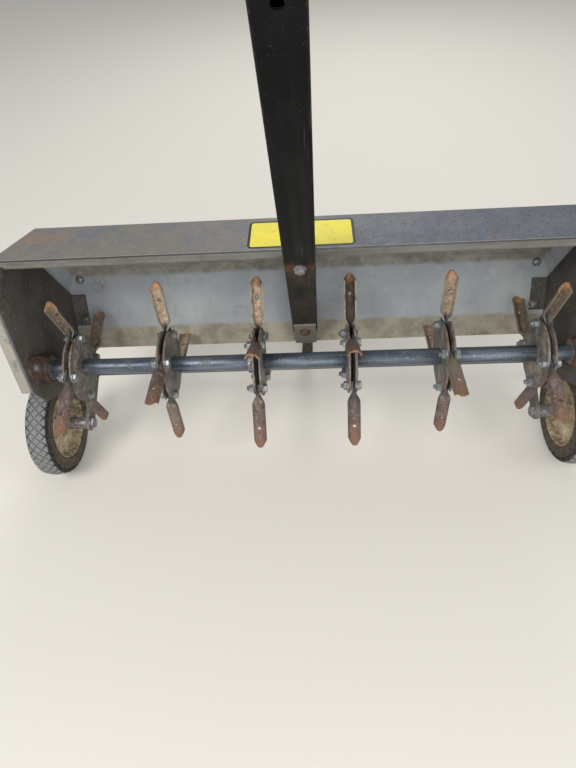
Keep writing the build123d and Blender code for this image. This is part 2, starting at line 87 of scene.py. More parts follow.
def bakePiece(piece, angle=32):
    # applies the modifiers and leaves a plain mesh
    bpy.context.view_layer.update()
    graph = bpy.context.evaluated_depsgraph_get()
    mesh = bpy.data.meshes.new_from_object(piece.evaluated_get(graph),
                                           preserve_all_data_layers=True, depsgraph=graph)
    piece.modifiers.clear()
    old = piece.data
    piece.data = mesh
    bpy.data.meshes.remove(old)
    mesh.name = piece.name
    if angle:
        shadePiece(mesh, angle)
    return piece


def easeEdges(piece, width, segments, limit):
    # rounds the edges sharper than the limit, by a width in millimetres
    ease = piece.modifiers.new("ease", "BEVEL")
    ease.width = width * 0.001
    ease.segments = segments
    ease.limit_method = "ANGLE"
    ease.angle_limit = radians(limit)
    return bakePiece(piece)


def cutAway(piece, tool):
    cut = piece.modifiers.new("cut", "BOOLEAN")
    cut.object = tool
    cut.solver = "EXACT"
    bakePiece(piece)
    bpy.data.objects.remove(tool)


def settle(piece, body, finish, nodes=()):
    # gives a piece its body and finish, and hides the frame nodes it stands for
    if finish:
        piece.data.materials.clear()
        piece.data.materials.append(finishes[finish])
    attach(piece, body)
    if nodes:
        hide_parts(*nodes)
    return piece


def unit(value):
    return min(1.0, max(0.0, value))


def circle(steps):
    # cosine and sine of each even turn
    turns = [2 * pi * i / steps for i in range(steps)]
    return [(cos(turn), sin(turn)) for turn in turns]


def bridge(bm, one, two, closed=True):
    # faces between two rows of vertices
    for i in range(len(one) if closed else len(one) - 1):
        j = (i + 1) % len(one)
        bm.faces.new((one[i], one[j], two[j], two[i]))


def skin(bm, rings, closed=True):
    # bridges rows in order and covers both ends
    for one, two in zip(rings, rings[1:]):
        bridge(bm, one, two, closed)
    bm.faces.new(rings[0][::-1])
    bm.faces.new(rings[-1])


def latheAcross(bm, profile, place, steps, closed=True):
    # an (across, out) profile turned about a line along X through a (rear, up) place
    rings = [[bm.verts.new((across, place[0] + out * c, place[1] + out * s))
              for across, out in profile] for c, s in circle(steps)]
    for one, two in zip(rings, rings[1:] + rings[:1]):
        bridge(bm, one, two, closed)
    if not closed:
        for end in (0, -1):
            bm.faces.new([ring[end] for ring in rings])


def sideRing(bm, side, span, inner, outer, place, ease):
    # a flat ring with eased edges, between two places across on one side of the machine
    low, high = sorted(side * across for across in span)
    latheAcross(bm, [(low, inner), (low, outer - ease), (low + ease, outer), (high - ease, outer),
                     (high, outer - ease), (high, inner)], place, 40)


def torusAround(bm, centre, axis, radius, thick, steps, wobble=0.0, seed=0):
    # a ring of round section, or a weld bead where it wobbles
    axis = Vector(axis).normalized()
    side = axis.orthogonal().normalized()
    up = axis.cross(side)
    rings = []
    for c, s in circle(steps):
        out = side * c + up * s
        swell = thick * (1 + wobble * noise.noise(out * 4 + Vector((seed, 0, 0))))
        middle = Vector(centre) + out * radius
        rings.append([bm.verts.new(middle + out * swell * cc + axis * swell * ss)
                      for cc, ss in circle(8)])
    for one, two in zip(rings, rings[1:] + rings[:1]):
        bridge(bm, one, two)


def turnUp(bm, profile, steps):
    # an (out, up) profile turned about Z
    skin(bm, [[bm.verts.new((out * c, out * s, up)) for c, s in circle(steps)]
              for out, up in profile])


def roundedCopy(node, width):
    # a copy of a frame node with its loose triangles joined and its edges eased
    bm = bmesh.new()
    bm.from_mesh(frame["nodes"][node].data)
    bmesh.ops.remove_doubles(bm, verts=bm.verts, dist=0.00001)
    bmesh.ops.dissolve_limit(bm, angle_limit=radians(0.6), verts=bm.verts, edges=bm.edges)
    return easeEdges(linkPiece(node + "Piece", meshFrom(node + "Piece", bm)), width, 2, 28)


# Node helpers, for both kinds of tree

def hexColour(text):
    parts = [int(text[i:i + 2], 16) / 255 for i in (1, 3, 5)]
    linear = [c / 12.92 if c <= 0.04045 else ((c + 0.055) / 1.055) ** 2.4 for c in parts]
    return (*linear, 1.0)


def setSocket(tree, socket, value):
    # a link, a colour written as sRGB hex, or a plain value
    if isinstance(value, bpy.types.NodeSocket):
        tree.links.new(value, socket)
    elif isinstance(value, str) and value.startswith("#"):
        socket.default_value = hexColour(value)
    else:
        socket.default_value = value


def addNode(tree, kind, sockets=None, out=0, **settings):
    # sockets go by name or number, and one output comes back
    node = tree.nodes.new(kind)
    for name, value in settings.items():
        setattr(node, name, value)
    for key, value in (sockets or {}).items():
        setSocket(tree, node.inputs[key], value)
    return node.outputs[out]


def mathNode(tree, operation, *values):
    return addNode(tree, "ShaderNodeMath", dict(enumerate(values)), operation=operation)


def startTree(name, wanted):
    # a tree whose named inputs are given as (name, kind, start value)
    tree = bpy.data.node_groups.new(name, "GeometryNodeTree")
    for label, kind, start in [("Geometry", "Geometry", None)] + wanted:
        item = tree.interface.new_socket(label, in_out="INPUT", socket_type="NodeSocket" + kind)
        if start is not None:
            item.default_value = start
    tree.interface.new_socket("Geometry", in_out="OUTPUT", socket_type="NodeSocketGeometry")
    return tree, tree.nodes.new("NodeGroupInput").outputs


def endTree(tree, geometry, finish):
    painted = addNode(tree, "GeometryNodeSetMaterial", {"Geometry": geometry, "Material": finish})
    tree.links.new(painted, tree.nodes.new("NodeGroupOutput").inputs[0])
    return tree


def growPiece(name, tree, start, settings, place=toRow):
    # runs a tree on a start mesh, keeps the plain result and puts it in place
    piece = linkPiece(name, start or bpy.data.meshes.new(name))
    grown = piece.modifiers.new("grown", "NODES")
    grown.node_group = tree
    for item in tree.interface.items_tree:
        if item.item_type == "SOCKET" and item.in_out == "INPUT" and item.name in settings:
            grown[item.identifier] = settings[item.name]
    bakePiece(piece, None)
    piece.data.transform(place)
    shadePiece(piece.data)
    return piece


# Finish helpers: kit is the material being made, with its colour and its relief so far. Its
# place is in millimetres in the machine's working attitude.

kit = {}


def openFinish(name):
    material = bpy.data.materials.new(name)
    material.use_nodes = True
    tree = material.node_tree
    place = addNode(tree, "ShaderNodeMapping", {
        "Vector": addNode(tree, "ShaderNodeTexCoord", out="Object"), "Rotation": (lean, 0, 0),
        "Location": -1000 * (noseUp.inverted() @ shaftPlace), "Scale": (1000, 1000, 1000)})
    kit.update(material=material, tree=tree, shader=tree.nodes["Principled BSDF"].inputs,
               place=place, normal=None)


def closeFinish(roughness, metallic=0.0):
    for name, value in (("Base Color", kit["colour"]), ("Roughness", roughness),
                        ("Metallic", metallic), ("Normal", kit["normal"])):
        setSocket(kit["tree"], kit["shader"][name], value)
    return kit["material"]


def paintNode(kind, sockets=None, out=0, **settings):
    return addNode(kit["tree"], kind, sockets, out, **settings)


def paintMath(operation, *values):
    return mathNode(kit["tree"], operation, *values)


def grain(size, detail=4.0, rough=0.6, stretch=None, shift=0):
    # a noise with features of about that many millimetres, shifted by metres
    vector = kit["place"]
    if stretch or shift:
        vector = paintNode("ShaderNodeMapping", {
            "Vector": vector, "Scale": stretch or (1, 1, 1),
            "Location": (1000 * shift, 700 * shift, -1000 * shift)})
    return paintNode("ShaderNodeTexNoise", {
        "Vector": vector, "Scale": 1 / size, "Detail": detail, "Roughness": rough}, "Fac")


def pebbles(size, feature="F1"):
    # cells of about that many millimetres
    return paintNode("ShaderNodeTexVoronoi",
                     {"Vector": kit["place"], "Scale": 1 / size}, "Distance", feature=feature)


def between(value, low, high):
    # smooth step from 0 at low to 1 at high, either way round
    rising = low < high
    return paintNode("ShaderNodeMapRange", {
        "Value": value, "From Min": min(low, high), "From Max": max(low, high),
        "To Min": 0.0 if rising else 1.0, "To Max": 1.0 if rising else 0.0
    }, interpolation_type="SMOOTHSTEP")


def patches(low, high, *size, **where):
    # a noise cut to patches with soft edges
    return between(grain(*size, **where), low, high)


def spread(value, low, high):
    return paintNode("ShaderNodeMapRange", {"Value": value, "To Min": low, "To Max": high})


def plus(one, two):
    return paintMath("ADD", one, two)


def times(one, two):
    return paintMath("MULTIPLY", one, two)


def most(one, two):
    return paintMath("MAXIMUM", one, two)


def blend(factor, under, over):
    return paintNode("ShaderNodeMix", {0: factor, 2: under, 3: over})


def mixed(factor, under, over):
    return paintNode("ShaderNodeMix", {0: factor, 6: under, 7: over}, 2, data_type="RGBA")


def ground(factor, under, over):
    # the first colour of a finish
    kit["colour"] = mixed(factor, under, over)


def coat(factor, over, strength=None):
    # lays a colour over the colour so far
    if strength:
        factor = times(factor, strength)
    kit["colour"] = mixed(factor, kit["colour"], over)


def relief(*layers):
    # layers are (height, strength, distance in millimetres)
    for height, strength, distance in layers:
        sockets = {"Height": height, "Strength": strength, "Distance": distance * 0.001}
        if kit["normal"]:
            sockets["Normal"] = kit["normal"]
        kit["normal"] = paintNode("ShaderNodeBump", sockets)


def axisOf(letter):
    return paintNode("ShaderNodeSeparateXYZ", {0: kit["place"]}, letter)


def aside(value, middle=0.0):
    # distance to either side of a middle
    return paintMath("ABSOLUTE", paintMath("SUBTRACT", value, middle))


def nearPlace(place, radius):
    # 1 at a place, fading to 0 at that radius
    away = paintNode("ShaderNodeVectorMath", {0: kit["place"], 1: place}, "Value",
                     operation="DISTANCE")
    return between(away, radius, 0.0)


def lineDistance(place=(0.0, 0.0)):
    # distance from a line along X through a (rear, up) place
    away = paintNode("ShaderNodeVectorMath", {
        0: kit["place"], 1: (0, 1, 1), 2: (0, -place[0], -place[1])}, operation="MULTIPLY_ADD")
    return paintNode("ShaderNodeVectorMath", {0: away}, "Value", operation="LENGTH")


def panelDistance(one, two):
    # distance down a panel, from a (rear, up) place towards another
    run = Vector((0, two[0] - one[0], two[1] - one[1])).normalized()
    down = paintNode("ShaderNodeVectorMath", {0: kit["place"], 1: run}, "Value",
                     operation="DOT_PRODUCT")
    return paintMath("SUBTRACT", down, run.dot(Vector((0, *one))))


# Finishes

def outerPaint(panel):
    # weathered gunmetal paint: brown patina on the left, blue-grey with dark pits on the right, darkened
    # there by painted shade too; a rust bloom, a worn line above the cut edge, and a dark line of painted shade on
    # the cut edge
    openFinish("outerPaint")
    # across the panel: a bluer patina to the right, and painted light and shade, lighter on the left and darker on
    # the right
    patinaShadeDrift = plus(axisOf("X"), times(grain(160, 3), 500))
    brown = mixed(patches(0.47, 0.66, 45, 6, 0.65), "#67625b", "#575c64")
    blueAndShade = mixed(patches(0.38, 0.64, 60, 6, 0.65, shift=2), "#434955", "#505459")
    ground(between(patinaShadeDrift, 50, 500), brown, blueAndShade)
    coat(patches(0.50, 0.66, 14, 6, 0.75), "#7b7265", blend(between(patinaShadeDrift, 100, 400), 0.4, 0.12))
    pits = times(patches(0.60, 0.65, 3.4, 2, 0.5, stretch=(0.85, 1, 1)),
                 blend(between(patinaShadeDrift, 100, 450), 0.35, 0.95))
    coat(pits, "#262831")
    coat(patches(0.63, 0.7, 3.5, 3, 0.7, shift=3), "#9a9486", 0.35)
    patch = patches(0.40, 0.56, 9, 7, 0.75, shift=11)
    for letter, (low, high), soft in zip("XZ", panel["bloom"], (30, 8)):
        place = axisOf(letter)
        patch = times(patch, times(between(place, low, low + soft),
                                   between(place, high + soft, high)))
    coat(patch, "#8a6645", 0.5)
    rusting = grain(60, 8, 0.72, shift=7)
    coat(between(rusting, 0.59, 0.67), "#75543f", 0.4)
    bloom = between(rusting, 0.64, 0.7)
    coat(bloom, "#5b3a28", 0.8)
    down = panelDistance(panel["frontFold"], panel["rim"])
    coat(between(down, panel["worn"] - 0.6, panel["worn"]), "#8f8b80", 0.6)
    # painted shade: the cut edge darkened as the shadowed slit under the panel's edge
    coat(between(down, panel["cutEdge"], panel["cutEdge"] + 0.3), "#171615", 0.92)
    rusty = most(bloom, patch)
    relief((grain(90, 2), 0.35, 1.6), (grain(1.8, 3), 0.25, 0.25),
           (pits, 0.4, -0.3), (rusty, 0.5, 0.4))
    return closeFinish(blend(rusty, spread(grain(18, 5), 0.42, 0.72), 0.9))


def railPaint(sheet):
    # rail, strap and wheel arms: dusty grey-brown with pale specks, streaks along X, and painted shade
    # as a dark step under the front panel
    openFinish("railPaint")
    streak = grain(12, 5, 0.65, stretch=(0.12, 1, 1))
    ground(between(streak, 0.35, 0.65), "#5a5751", "#6c6960")
    coat(patches(0.52, 0.68, 30, 6, 0.7), "#4b4840", 0.6)
    coat(patches(0.66, 0.71, 2.6, 2, 0.5), "#99937f", 0.4)
    coat(patches(0.66, 0.72, 22, 7, 0.75, shift=4), "#70472e")
    down = panelDistance(sheet["frontFold"], sheet["rim"])
    front = sheet["frontFold"][0]
    # painted shade: the step under the front panel's edge darkened
    step = times(between(down, sheet["slit"] + 0.4, sheet["slit"] - 0.4),
                 between(axisOf("Y"), front - 20, front - 30))
    coat(step, "#1b1a18", 0.85)
    relief((grain(2.4, 4, 0.7), 0.4, 0.4))
    return closeFinish(spread(streak, 0.6, 0.85))


def platePaint(plate):
    # end plates: dark brown-grey inside, paint outside, the turned-out flange pale with dust and painted sunlight
    openFinish("platePaint")
    out = aside(axisOf("X"))
    ground(patches(0.38, 0.62, 60, 6, 0.65), "#3e3a35", "#4d4944")
    coat(patches(0.55, 0.68, 6, 4, shift=3), "#7a6d5c", 0.5)
    coat(between(out, plate["face"] + 1, plate["outer"] - 1),
         mixed(patches(0.38, 0.62, 70, 5, 0.65, shift=5), "#4b5260", "#5f5d5c"))
    # the turned-out flange painted pale: dust and painted sunlight
    flangeDustAndSun = times(between(out, plate["outer"], plate["outer"] + 3),
                  patches(0.30, 0.50, 25, 6, 0.7, shift=1))
    coat(flangeDustAndSun, "#948f82", 0.9)
    coat(patches(0.63, 0.69, 40, 8, 0.72, shift=8), "#6c4129")
    relief((grain(80, 2), 0.35, 1.4), (grain(2.6, 4, 0.7), 0.4, 0.4))
    return closeFinish(spread(grain(15, 5), 0.5, 0.85))


def innerPaint(inside):
    # under the hood: smooth pale blue-grey rear panel, its paleness partly painted sunlight, speckled olive deck,
    # dusty beige skirt
    openFinish("innerPaint")
    up = plus(axisOf("Z"), times(grain(24, 4), 10))
    deck = between(up, inside["deckUp"] + 2, inside["deckUp"] + 10)
    skirt = between(up, inside["skirtUp"] + 10, inside["skirtUp"] + 2)
    gritty = most(deck, skirt)
    # the rear panel's pale ground: paint made paler as painted sunlight
    ground(patches(0.35, 0.65, 120, 4), "#8b9196", "#9ea2a3")
    coat(patches(0.55, 0.7, 30, 6, 0.7, shift=2), "#aeaca3", 0.4)
    streak = patches(0.60, 0.68, 9, 5, 0.7, stretch=(1, 0.12, 0.12), shift=3)
    coat(streak, "#787b7d", 0.35)
    coat(deck, mixed(patches(0.36, 0.64, 26, 6, 0.7), "#747269", "#8f8d83"))
    coat(skirt, mixed(patches(0.34, 0.62, 30, 5, 0.65, shift=4), "#817a6b", "#9a9383"))
    coat(patches(0.63, 0.69, 2.4, 2, 0.5, shift=5), "#bdb8a8", blend(gritty, 0.12, 0.5))
    coat(patches(0.61, 0.68, 3, 3, 0.6, shift=8), "#45423a", blend(gritty, 0.05, 0.4))
    coat(patches(0.4, 0.55, 10, 5), "#c8bd98", nearPlace(inside["blotch"], 34))
    stain = times(nearPlace(inside["stain"], 26), patches(0.44, 0.58, 6, 6, 0.7))
    rust = most(stain, patches(0.67, 0.73, 48, 8, 0.7, shift=9))
    coat(rust, "#7a5440", 0.8)
    relief((grain(110, 2, shift=1), 0.4, 2.0),
           (times(grain(2.8, 4, 0.7), blend(gritty, 0.12, 0.7)), 0.5, 0.5))
    return closeFinish(blend(gritty, spread(grain(20, 4), 0.4, 0.6), 0.85))


def blackPaint(tube):
    # semi-gloss black: scratches, rust along the edges and by the bolt, dust under the hood
    openFinish("blackPaint")
    ground(patches(0.35, 0.7, 70, 4), "#090a0b", "#121213")
    sheltered = between(axisOf("Y"), tube["bolt"] - 30, tube["bolt"] + 20)
    dust = times(sheltered, patches(0.30, 0.60, 55, 5, 0.65, shift=2))
    coat(dust, "#514a3e", 0.5)
    scratch = patches(0.66, 0.7, 9, 3, 0.5, stretch=(1, 0.06, 1))
    coat(scratch, "#4a4a48", 0.3)
    coat(patches(0.69, 0.73, 2.4, 2, shift=3), "#6b6660", 0.35)
    middle = (tube["bottom"] + tube["top"]) / 2
    atEdge = times(between(aside(axisOf("X")), 21.5, 24.8),
                   between(aside(axisOf("Z"), middle), 20.5, 24.5))
    rust = most(times(atEdge, patches(0.55, 0.62, 14, 7, 0.75, shift=6)),
                patches(0.70, 0.74, 30, 8, 0.75, shift=8))
    for across, reach, low, high, size, shift in tube["rustByBolt"]:
        spot = nearPlace((across, tube["bolt"], tube["bottom"]), reach)
        ragged = patches(low, high, size, 6, 0.75, shift=shift)
        rust = most(rust, times(spot, ragged))
    coat(rust, mixed(grain(5), "#563629", "#7c4d39"))
    kit["shader"]["Specular IOR Level"].default_value = 0.1
    relief((grain(60, 2), 0.2, 0.8), (most(rust, scratch), 0.4, 0.2))
    return closeFinish(blend(most(rust, dust), spread(grain(25, 5), 0.26, 0.48), 0.85))


def tubeSteel():
    # dark metallic grey paint with bright streaks along the tube as painted sheen, dust and a little rust
    openFinish("tubeSteel")
    # bright streaks along the tube: painted sheen
    streak = grain(10, 4, 0.6, stretch=(0.05, 1, 1))
    ground(between(streak, 0.35, 0.65), "#434a54", "#69727d")
    dirt = patches(0.54, 0.68, 34, 7, 0.7, shift=2)
    coat(dirt, "#6b6355", 0.5)
    coat(patches(0.58, 0.66, 3, 3, 0.6, shift=7), "#9a978e", 0.5)
    rust = patches(0.67, 0.72, 22, 7, 0.75, shift=5)
    coat(rust, "#63402b")
    dull = most(dirt, rust)
    relief((grain(2.5, 3), 0.25, 0.25), (rust, 0.4, 0.3))
    return closeFinish(blend(dull, spread(streak, 0.28, 0.5), 0.75), blend(dull, 0.55, 0.0))


def hubSteel():
    # hub plates: dusty steel, paler where the soil dried, dark blotches, rust at the rim
    openFinish("hubSteel")
    ground(patches(0.36, 0.64, 24, 6, 0.7), "#54565a", "#67625a")
    soil = patches(0.46, 0.60, 32, 6, 0.72, shift=3)
    coat(soil, "#8b8273", 0.75)
    coat(patches(0.50, 0.64, 13, 6, 0.7, shift=5), "#3d372f", 0.6)
    coat(patches(0.58, 0.66, 3, 3), "#a09788", 0.6)
    rim = times(between(lineDistance(), 50, 64), patches(0.46, 0.60, 12, 6, 0.75, shift=6))
    rust = most(rim, patches(0.61, 0.68, 14, 7, 0.75, shift=6))
    coat(rust, "#6e4a34", 0.9)
    dull = most(soil, rust)
    relief((grain(3, 4, 0.7), 0.4, 0.5), (soil, 0.4, 0.5))
    return closeFinish(blend(dull, spread(grain(12), 0.42, 0.62), 0.88), blend(dull, 0.35, 0.0))


def spoonSteel():
    # spoons: purple-brown backs, dark steel necks, caked insides with painted highlights on the lumps, bright wall
    # edges, rusty tips
    openFinish("spoonSteel")
    inside, edge, hollow, tone, soil = [
        paintNode("ShaderNodeAttribute", out="Fac", attribute_name=name)
        for name in ("inside", "wallEdge", "hollow", "tone", "soil")]
    out = lineDistance()
    ragged = plus(out, times(grain(12, 5), 30))
    ground(patches(0.36, 0.64, 15, 6, 0.7), "#403634", "#604a3f")
    coat(between(tone, 0.55, 0.95), "#7a6e5e", 0.5)
    coat(patches(0.50, 0.64, 22, 5, 0.7, shift=4), "#6c6a68", 0.5)
    coat(between(ragged, 104, 86), mixed(patches(0.36, 0.64, 10, 5, 0.65), "#33363b", "#55534f"))
    reddish = times(between(ragged, 118, 160), patches(0.30, 0.58, 7, 5, 0.7, shift=5))
    coat(reddish, "#6f4c36", 0.7)
    specks = times(between(out, 80, 100), patches(0.57, 0.65, 2.6, 3, 0.6, shift=8))
    coat(specks, "#a59c92", 0.6)
    pebble = pebbles(5)
    drying = grain(8, 5, 0.7, shift=2)
    brown = mixed(between(drying, 0.36, 0.64), "#2e251e", "#4d3f31")
    cream = mixed(between(drying, 0.34, 0.64), "#927e66", "#c2ab90")
    # lighter pebble centres: painted highlights on the caked lumps
    cream = mixed(times(between(pebble, 0.30, 0.05), 0.45), cream, "#d8c8b2")
    cracks = between(pebbles(13, "DISTANCE_TO_EDGE"), 0.10, 0.02)
    cream = mixed(times(cracks, 0.3), cream, "#5f5344")
    caked = times(inside, patches(0.26, 0.42, 34, 4, shift=7))
    coat(caked, mixed(soil, brown, cream))
    wiped = times(edge, patches(0.34, 0.5, 18, 4, shift=3))
    coat(wiped, "#968f82", 0.6)
    tip = times(between(ragged, 156, 168.5), patches(0.28, 0.56, 6, 6, 0.7, shift=6))
    fine = grain(5, 5)
    coat(tip, mixed(hollow, mixed(fine, "#5d3d29", "#875f43"),
                    mixed(fine, "#80532f", "#ab8056")), 0.85)
    coat(patches(0.60, 0.67, 8, 6, 0.75, shift=9), "#6f4733", 0.5)
    relief((grain(2.4, 4, 0.7), 0.5, 0.5), (times(pebble, caked), 0.7, 1.2))
    roughness = blend(times(wiped, 0.8), spread(grain(10), 0.55, 0.92), 0.42)
    return closeFinish(roughness, times(wiped, 0.5))


def zincSteel(name, rustFrom):
    # plated bolts, washers and shaft, the rustier the lower rustFrom is
    openFinish(name)
    ground(patches(0.36, 0.64, 8, 5), "#7b8287", "#989d9f")
    dull = patches(0.44, 0.62, 4, 4, shift=4)
    coat(dull, "#5d584f", 0.7)
    rust = patches(rustFrom, rustFrom + 0.09, 7, 6, 0.75, shift=6)
    coat(rust, mixed(grain(3), "#523628", "#754c35"))
    relief((grain(1.5, 3), 0.3, 0.2))
    return closeFinish(blend(rust, spread(grain(6), 0.3, 0.5), 0.88),
                       blend(most(rust, dull), 0.7, 0.1))


def rustySteel():
    # bearing housings, arm stops, strap bolt and weld beads
    openFinish("rustySteel")
    ground(patches(0.36, 0.62, 12, 6, 0.7), "#38291f", "#5a4335")
    coat(patches(0.54, 0.66, 5, 5, shift=3), "#7d5c46", 0.5)
    coat(patches(0.55, 0.68, 20, 5, shift=6), "#5b5c5c", 0.7)
    relief((grain(2, 5, 0.7), 0.6, 0.5))
    return closeFinish(spread(grain(8), 0.7, 0.95))


def tyreRubber(wheel):
    # dusty rubber: pale worn block tops, dark grooves, brown dirty side walls
    openFinish("tyreRubber")
    out = lineDistance(wheel["place"])
    ground(patches(0.35, 0.65, 14, 5), "#1d1c1a", "#2c2924")
    coat(patches(0.3, 0.6, 18, 6, 0.7), "#4e4333",
         between(out, wheel["wallOut"] - 1, wheel["wallOut"] - 6))
    top = between(out, wheel["radius"] - 4.6, wheel["radius"] - 3.0)
    coat(top, "#7c7d7d", spread(grain(9, 5, 0.7), 0.55, 1.0))
    coat(patches(0.6, 0.68, 3, 3, shift=2), "#9c9585", 0.6)
    relief((grain(1.6, 3), 0.3, 0.25))
    return closeFinish(spread(grain(10), 0.72, 0.95))


def rimCream(wheel):
    # cream paint, dirty towards the hub and the lip
    openFinish("rimCream")
    out = lineDistance(wheel["place"])
    ground(patches(0.35, 0.65, 30, 4), "#a19378", "#c2b596")
    low = times(between(out, 44, 22), patches(0.3, 0.6, 9, 6, 0.7))
    lip = times(between(out, 58, 70), patches(0.36, 0.6, 7, 6, 0.7, shift=2))
    dirt = most(most(low, lip), patches(0.54, 0.66, 16, 7, 0.72, shift=4))
    coat(dirt, "#67533b", 0.85)
    rust = patches(0.62, 0.69, 10, 7, 0.75, shift=7)
    coat(rust, "#6a3d22")
    relief((grain(2.5, 4), 0.3, 0.3))
    return closeFinish(blend(most(dirt, rust), 0.45, 0.88))


def gripRubber():
    # matt black rubber with dust
    openFinish("gripRubber")
    ground(patches(0.4, 0.7, 20, 5), "#161617", "#2b2a28")
    coat(patches(0.55, 0.7, 6, 5, shift=2), "#5d574c", 0.5)
    relief((grain(1.2, 2), 0.3, 0.15))
    return closeFinish(spread(grain(9), 0.6, 0.85))


def labelInk(name, fresh, faded):
    # printed foil, a little faded and grimy
    openFinish(name)
    ground(patches(0.35, 0.65, 40, 4), fresh, faded)
    grime = patches(0.54, 0.68, 9, 6, 0.72, shift=3)
    coat(grime, "#7a7350", 0.25)
    kit["shader"]["Specular IOR Level"].default_value = 0.25
    relief((grain(12, 3), 0.15, 0.2))
    return closeFinish(spread(grime, 0.5, 0.75))


# Sizes that several pieces share, the same as the frame's; places are (rear, up)

hood = {
    "rim": (-180.0, 135.0), "frontFold": (-128.0, 226.0), "rearFold": (44.0, 226.0),
    "skirtFold": (118.0, 126.0), "skirtEdge": (146.0, 89.0),
    "deckHalf": 480.0, "rimHalf": 527.0, "sheet": 2.5, "bend": 3.0,
    "notchHalf": 26.0, "notchTop": 138.0, "notchDeep": 120.0,  # where the tongue passes the rim
    "worn": 103.0, "cutEdge": 104.2, "slit": 108.2,  # lines down the front panel from its fold
    "deckUp": 212.0, "skirtUp": 123.0,  # levels where the paint inside changes
    "stain": (-430.0, 62.0, 196.0), "blotch": (-120.0, 0.0, 223.0),
    "bloom": ((-500.0, -430.0), (178.0, 204.0)),  # across and up
}
plate = {"face": 494.0, "outer": 498.0}
tongue = {"bottom": 88.0, "top": 138.0, "bolt": -205.0, "strapBolt": 72.0, "skirtBolt": 24.0,
          "strap": 4.0, "ears": (-845.0, -800.0), "ear": 6.0,
          # across, reach, patches from, to, their size, shift
          "rustByBolt": [(-14.0, 26, 0.42, 0.55, 8, 5), (16.0, 20, 0.46, 0.58, 7, 4)]}
transport = {"pivot": (175.0, 47.0), "armFace": 478.0, "armThick": 8.0, "arm": 122.0,
             "armLean": radians(2.8)}
wheel = {
    "place": (transport["pivot"][0] - transport["arm"] * sin(transport["armLean"]),
              transport["pivot"][1] - transport["arm"] * cos(transport["armLean"])),
    "middle": 543.0, "radius": 110.0, "half": 23.0, "shoulder": 8.0, "crown": 2.0,
    "grooveDeep": 2.4, "grooveHalf": 0.95, "blockHalf": 9.0, "pitches": 36, "wallOut": 100.0,
    # (across, out) places on the tyre's wall and on the rim's outer face
    "wall": [(22.4, 99.0), (23.0, 96.0), (23.0, 91.0), (22.2, 90.0), (22.2, 84.0), (23.0, 83.0),
             (23.0, 78.0), (21.8, 75.4), (21.0, 74.05)],
    "rimFace": [(21.0, 74.0), (22.2, 73.4), (22.4, 72.2), (21.2, 71.2), (18.0, 70.4), (6.0, 69.4),
                (3.6, 67.4), (2.6, 62.0), (2.6, 44.0), (4.0, 33.0), (6.5, 25.0), (9.5, 20.8),
                (12.0, 19.0), (22.4, 19.0), (23.0, 18.4), (23.0, 8.1)],
    # (out, high) places along a rib, with half its width at the foot and at the crest
    "ribs": 6, "ribLine": [(18.0, 17.0), (24.0, 15.0), (38.0, 10.5), (54.0, 8.0), (66.0, 9.5),
                           (70.0, 12.0)], "ribFoot": 2.2, "ribCrest": 1.5,
}
wheel["overEnd"] = wheel["half"] - wheel["shoulder"] + wheel["shoulder"] * pi / 2 - 0.1
pitch = 172.0  # from tine wheel to tine wheel

finishes = {
    "outer": outerPaint(hood), "rail": railPaint(hood), "plate": platePaint(plate),
    "inner": innerPaint(hood), "black": blackPaint(tongue), "tube": tubeSteel(),
    "hub": hubSteel(), "spoon": spoonSteel(), "zinc": zincSteel("zincSteel", 0.6),
    "bolt": zincSteel("boltSteel", 0.5), "rusty": rustySteel(), "tyre": tyreRubber(wheel),
    "rim": rimCream(wheel), "grip": gripRubber(),
    "yellow": labelInk("labelYellow", "#d9c92c", "#ccc045"),
    "ink": labelInk("labelInk", "#060606", "#0e0d0c"),
}
print("finishes made:", len(finishes))


# Hood: a folded sheet drawn as a skin, its folds rounded, then given its wall and notched

def hoodPiece():
    bm = bmesh.new()
    rimUp = hood["rim"][1]
    share = (hood["rearFold"][1] - rimUp) / (hood["rearFold"][1] - hood["skirtFold"][1])
    crease = hood["rearFold"][0] + (hood["skirtFold"][0] - hood["rearFold"][0]) * share
    rows = [[bm.verts.new((side * half, *place)) for side in (-1, 1)] for place, half in (
        (hood["rim"], hood["rimHalf"]), (hood["frontFold"], hood["deckHalf"]),
        (hood["rearFold"], hood["deckHalf"]), ((crease, rimUp), hood["rimHalf"]),
        (hood["skirtFold"], hood["rimHalf"]), (hood["skirtEdge"], hood["rimHalf"]))]
    for one, two in zip(rows, rows[1:]):
        bridge(bm, one, two, closed=False)
    for end in (0, 1):
        for corners in ((0, 1, 2, 3), (0, 3, 4, 5)):
            bm.faces.new([rows[i][end] for i in corners])
    bmesh.ops.recalc_face_normals(bm, faces=bm.faces)
    if bm.faces[1].normal.z < 0:
        bmesh.ops.reverse_faces(bm, faces=bm.faces)
    folds = [e for e in bm.edges if len(e.link_faces) == 2 and e.calc_face_angle() > 0.03]
    bmesh.ops.bevel(bm, geom=folds, offset=hood["bend"], offset_type="OFFSET", segments=4,
                    profile=0.5, affect="EDGES", clamp_overlap=True)
    bm.transform(toRow)
    piece = linkPiece("hoodShell", meshFrom("hoodShell", bm))
    for finish in ("outer", "inner"):
        piece.data.materials.append(finishes[finish])
    wall = piece.modifiers.new("wall", "SOLIDIFY")
    wall.thickness = hood["sheet"] * 0.001
    wall.offset = -1
    wall.use_even_offset = True
    wall.material_offset = 1
    bakePiece(piece)
    cutter = bmesh.new()
    size = (2 * hood["notchHalf"], hood["notchDeep"], hood["notchTop"], 1)
    place = Matrix.Translation((0, hood["rim"][0], hood["notchTop"] / 2)) @ Matrix.Diagonal(size)
    bmesh.ops.create_cube(cutter, size=1, matrix=place)
    cutAway(piece, pieceFrom("notchTool", cutter))
    return settle(easeEdges(piece, 0.6, 1, 60), "frame", None, ["hood"])


hoodPiece()


# Plates, rail, tongue and the other plain steel: eased copies of the frame's own solids

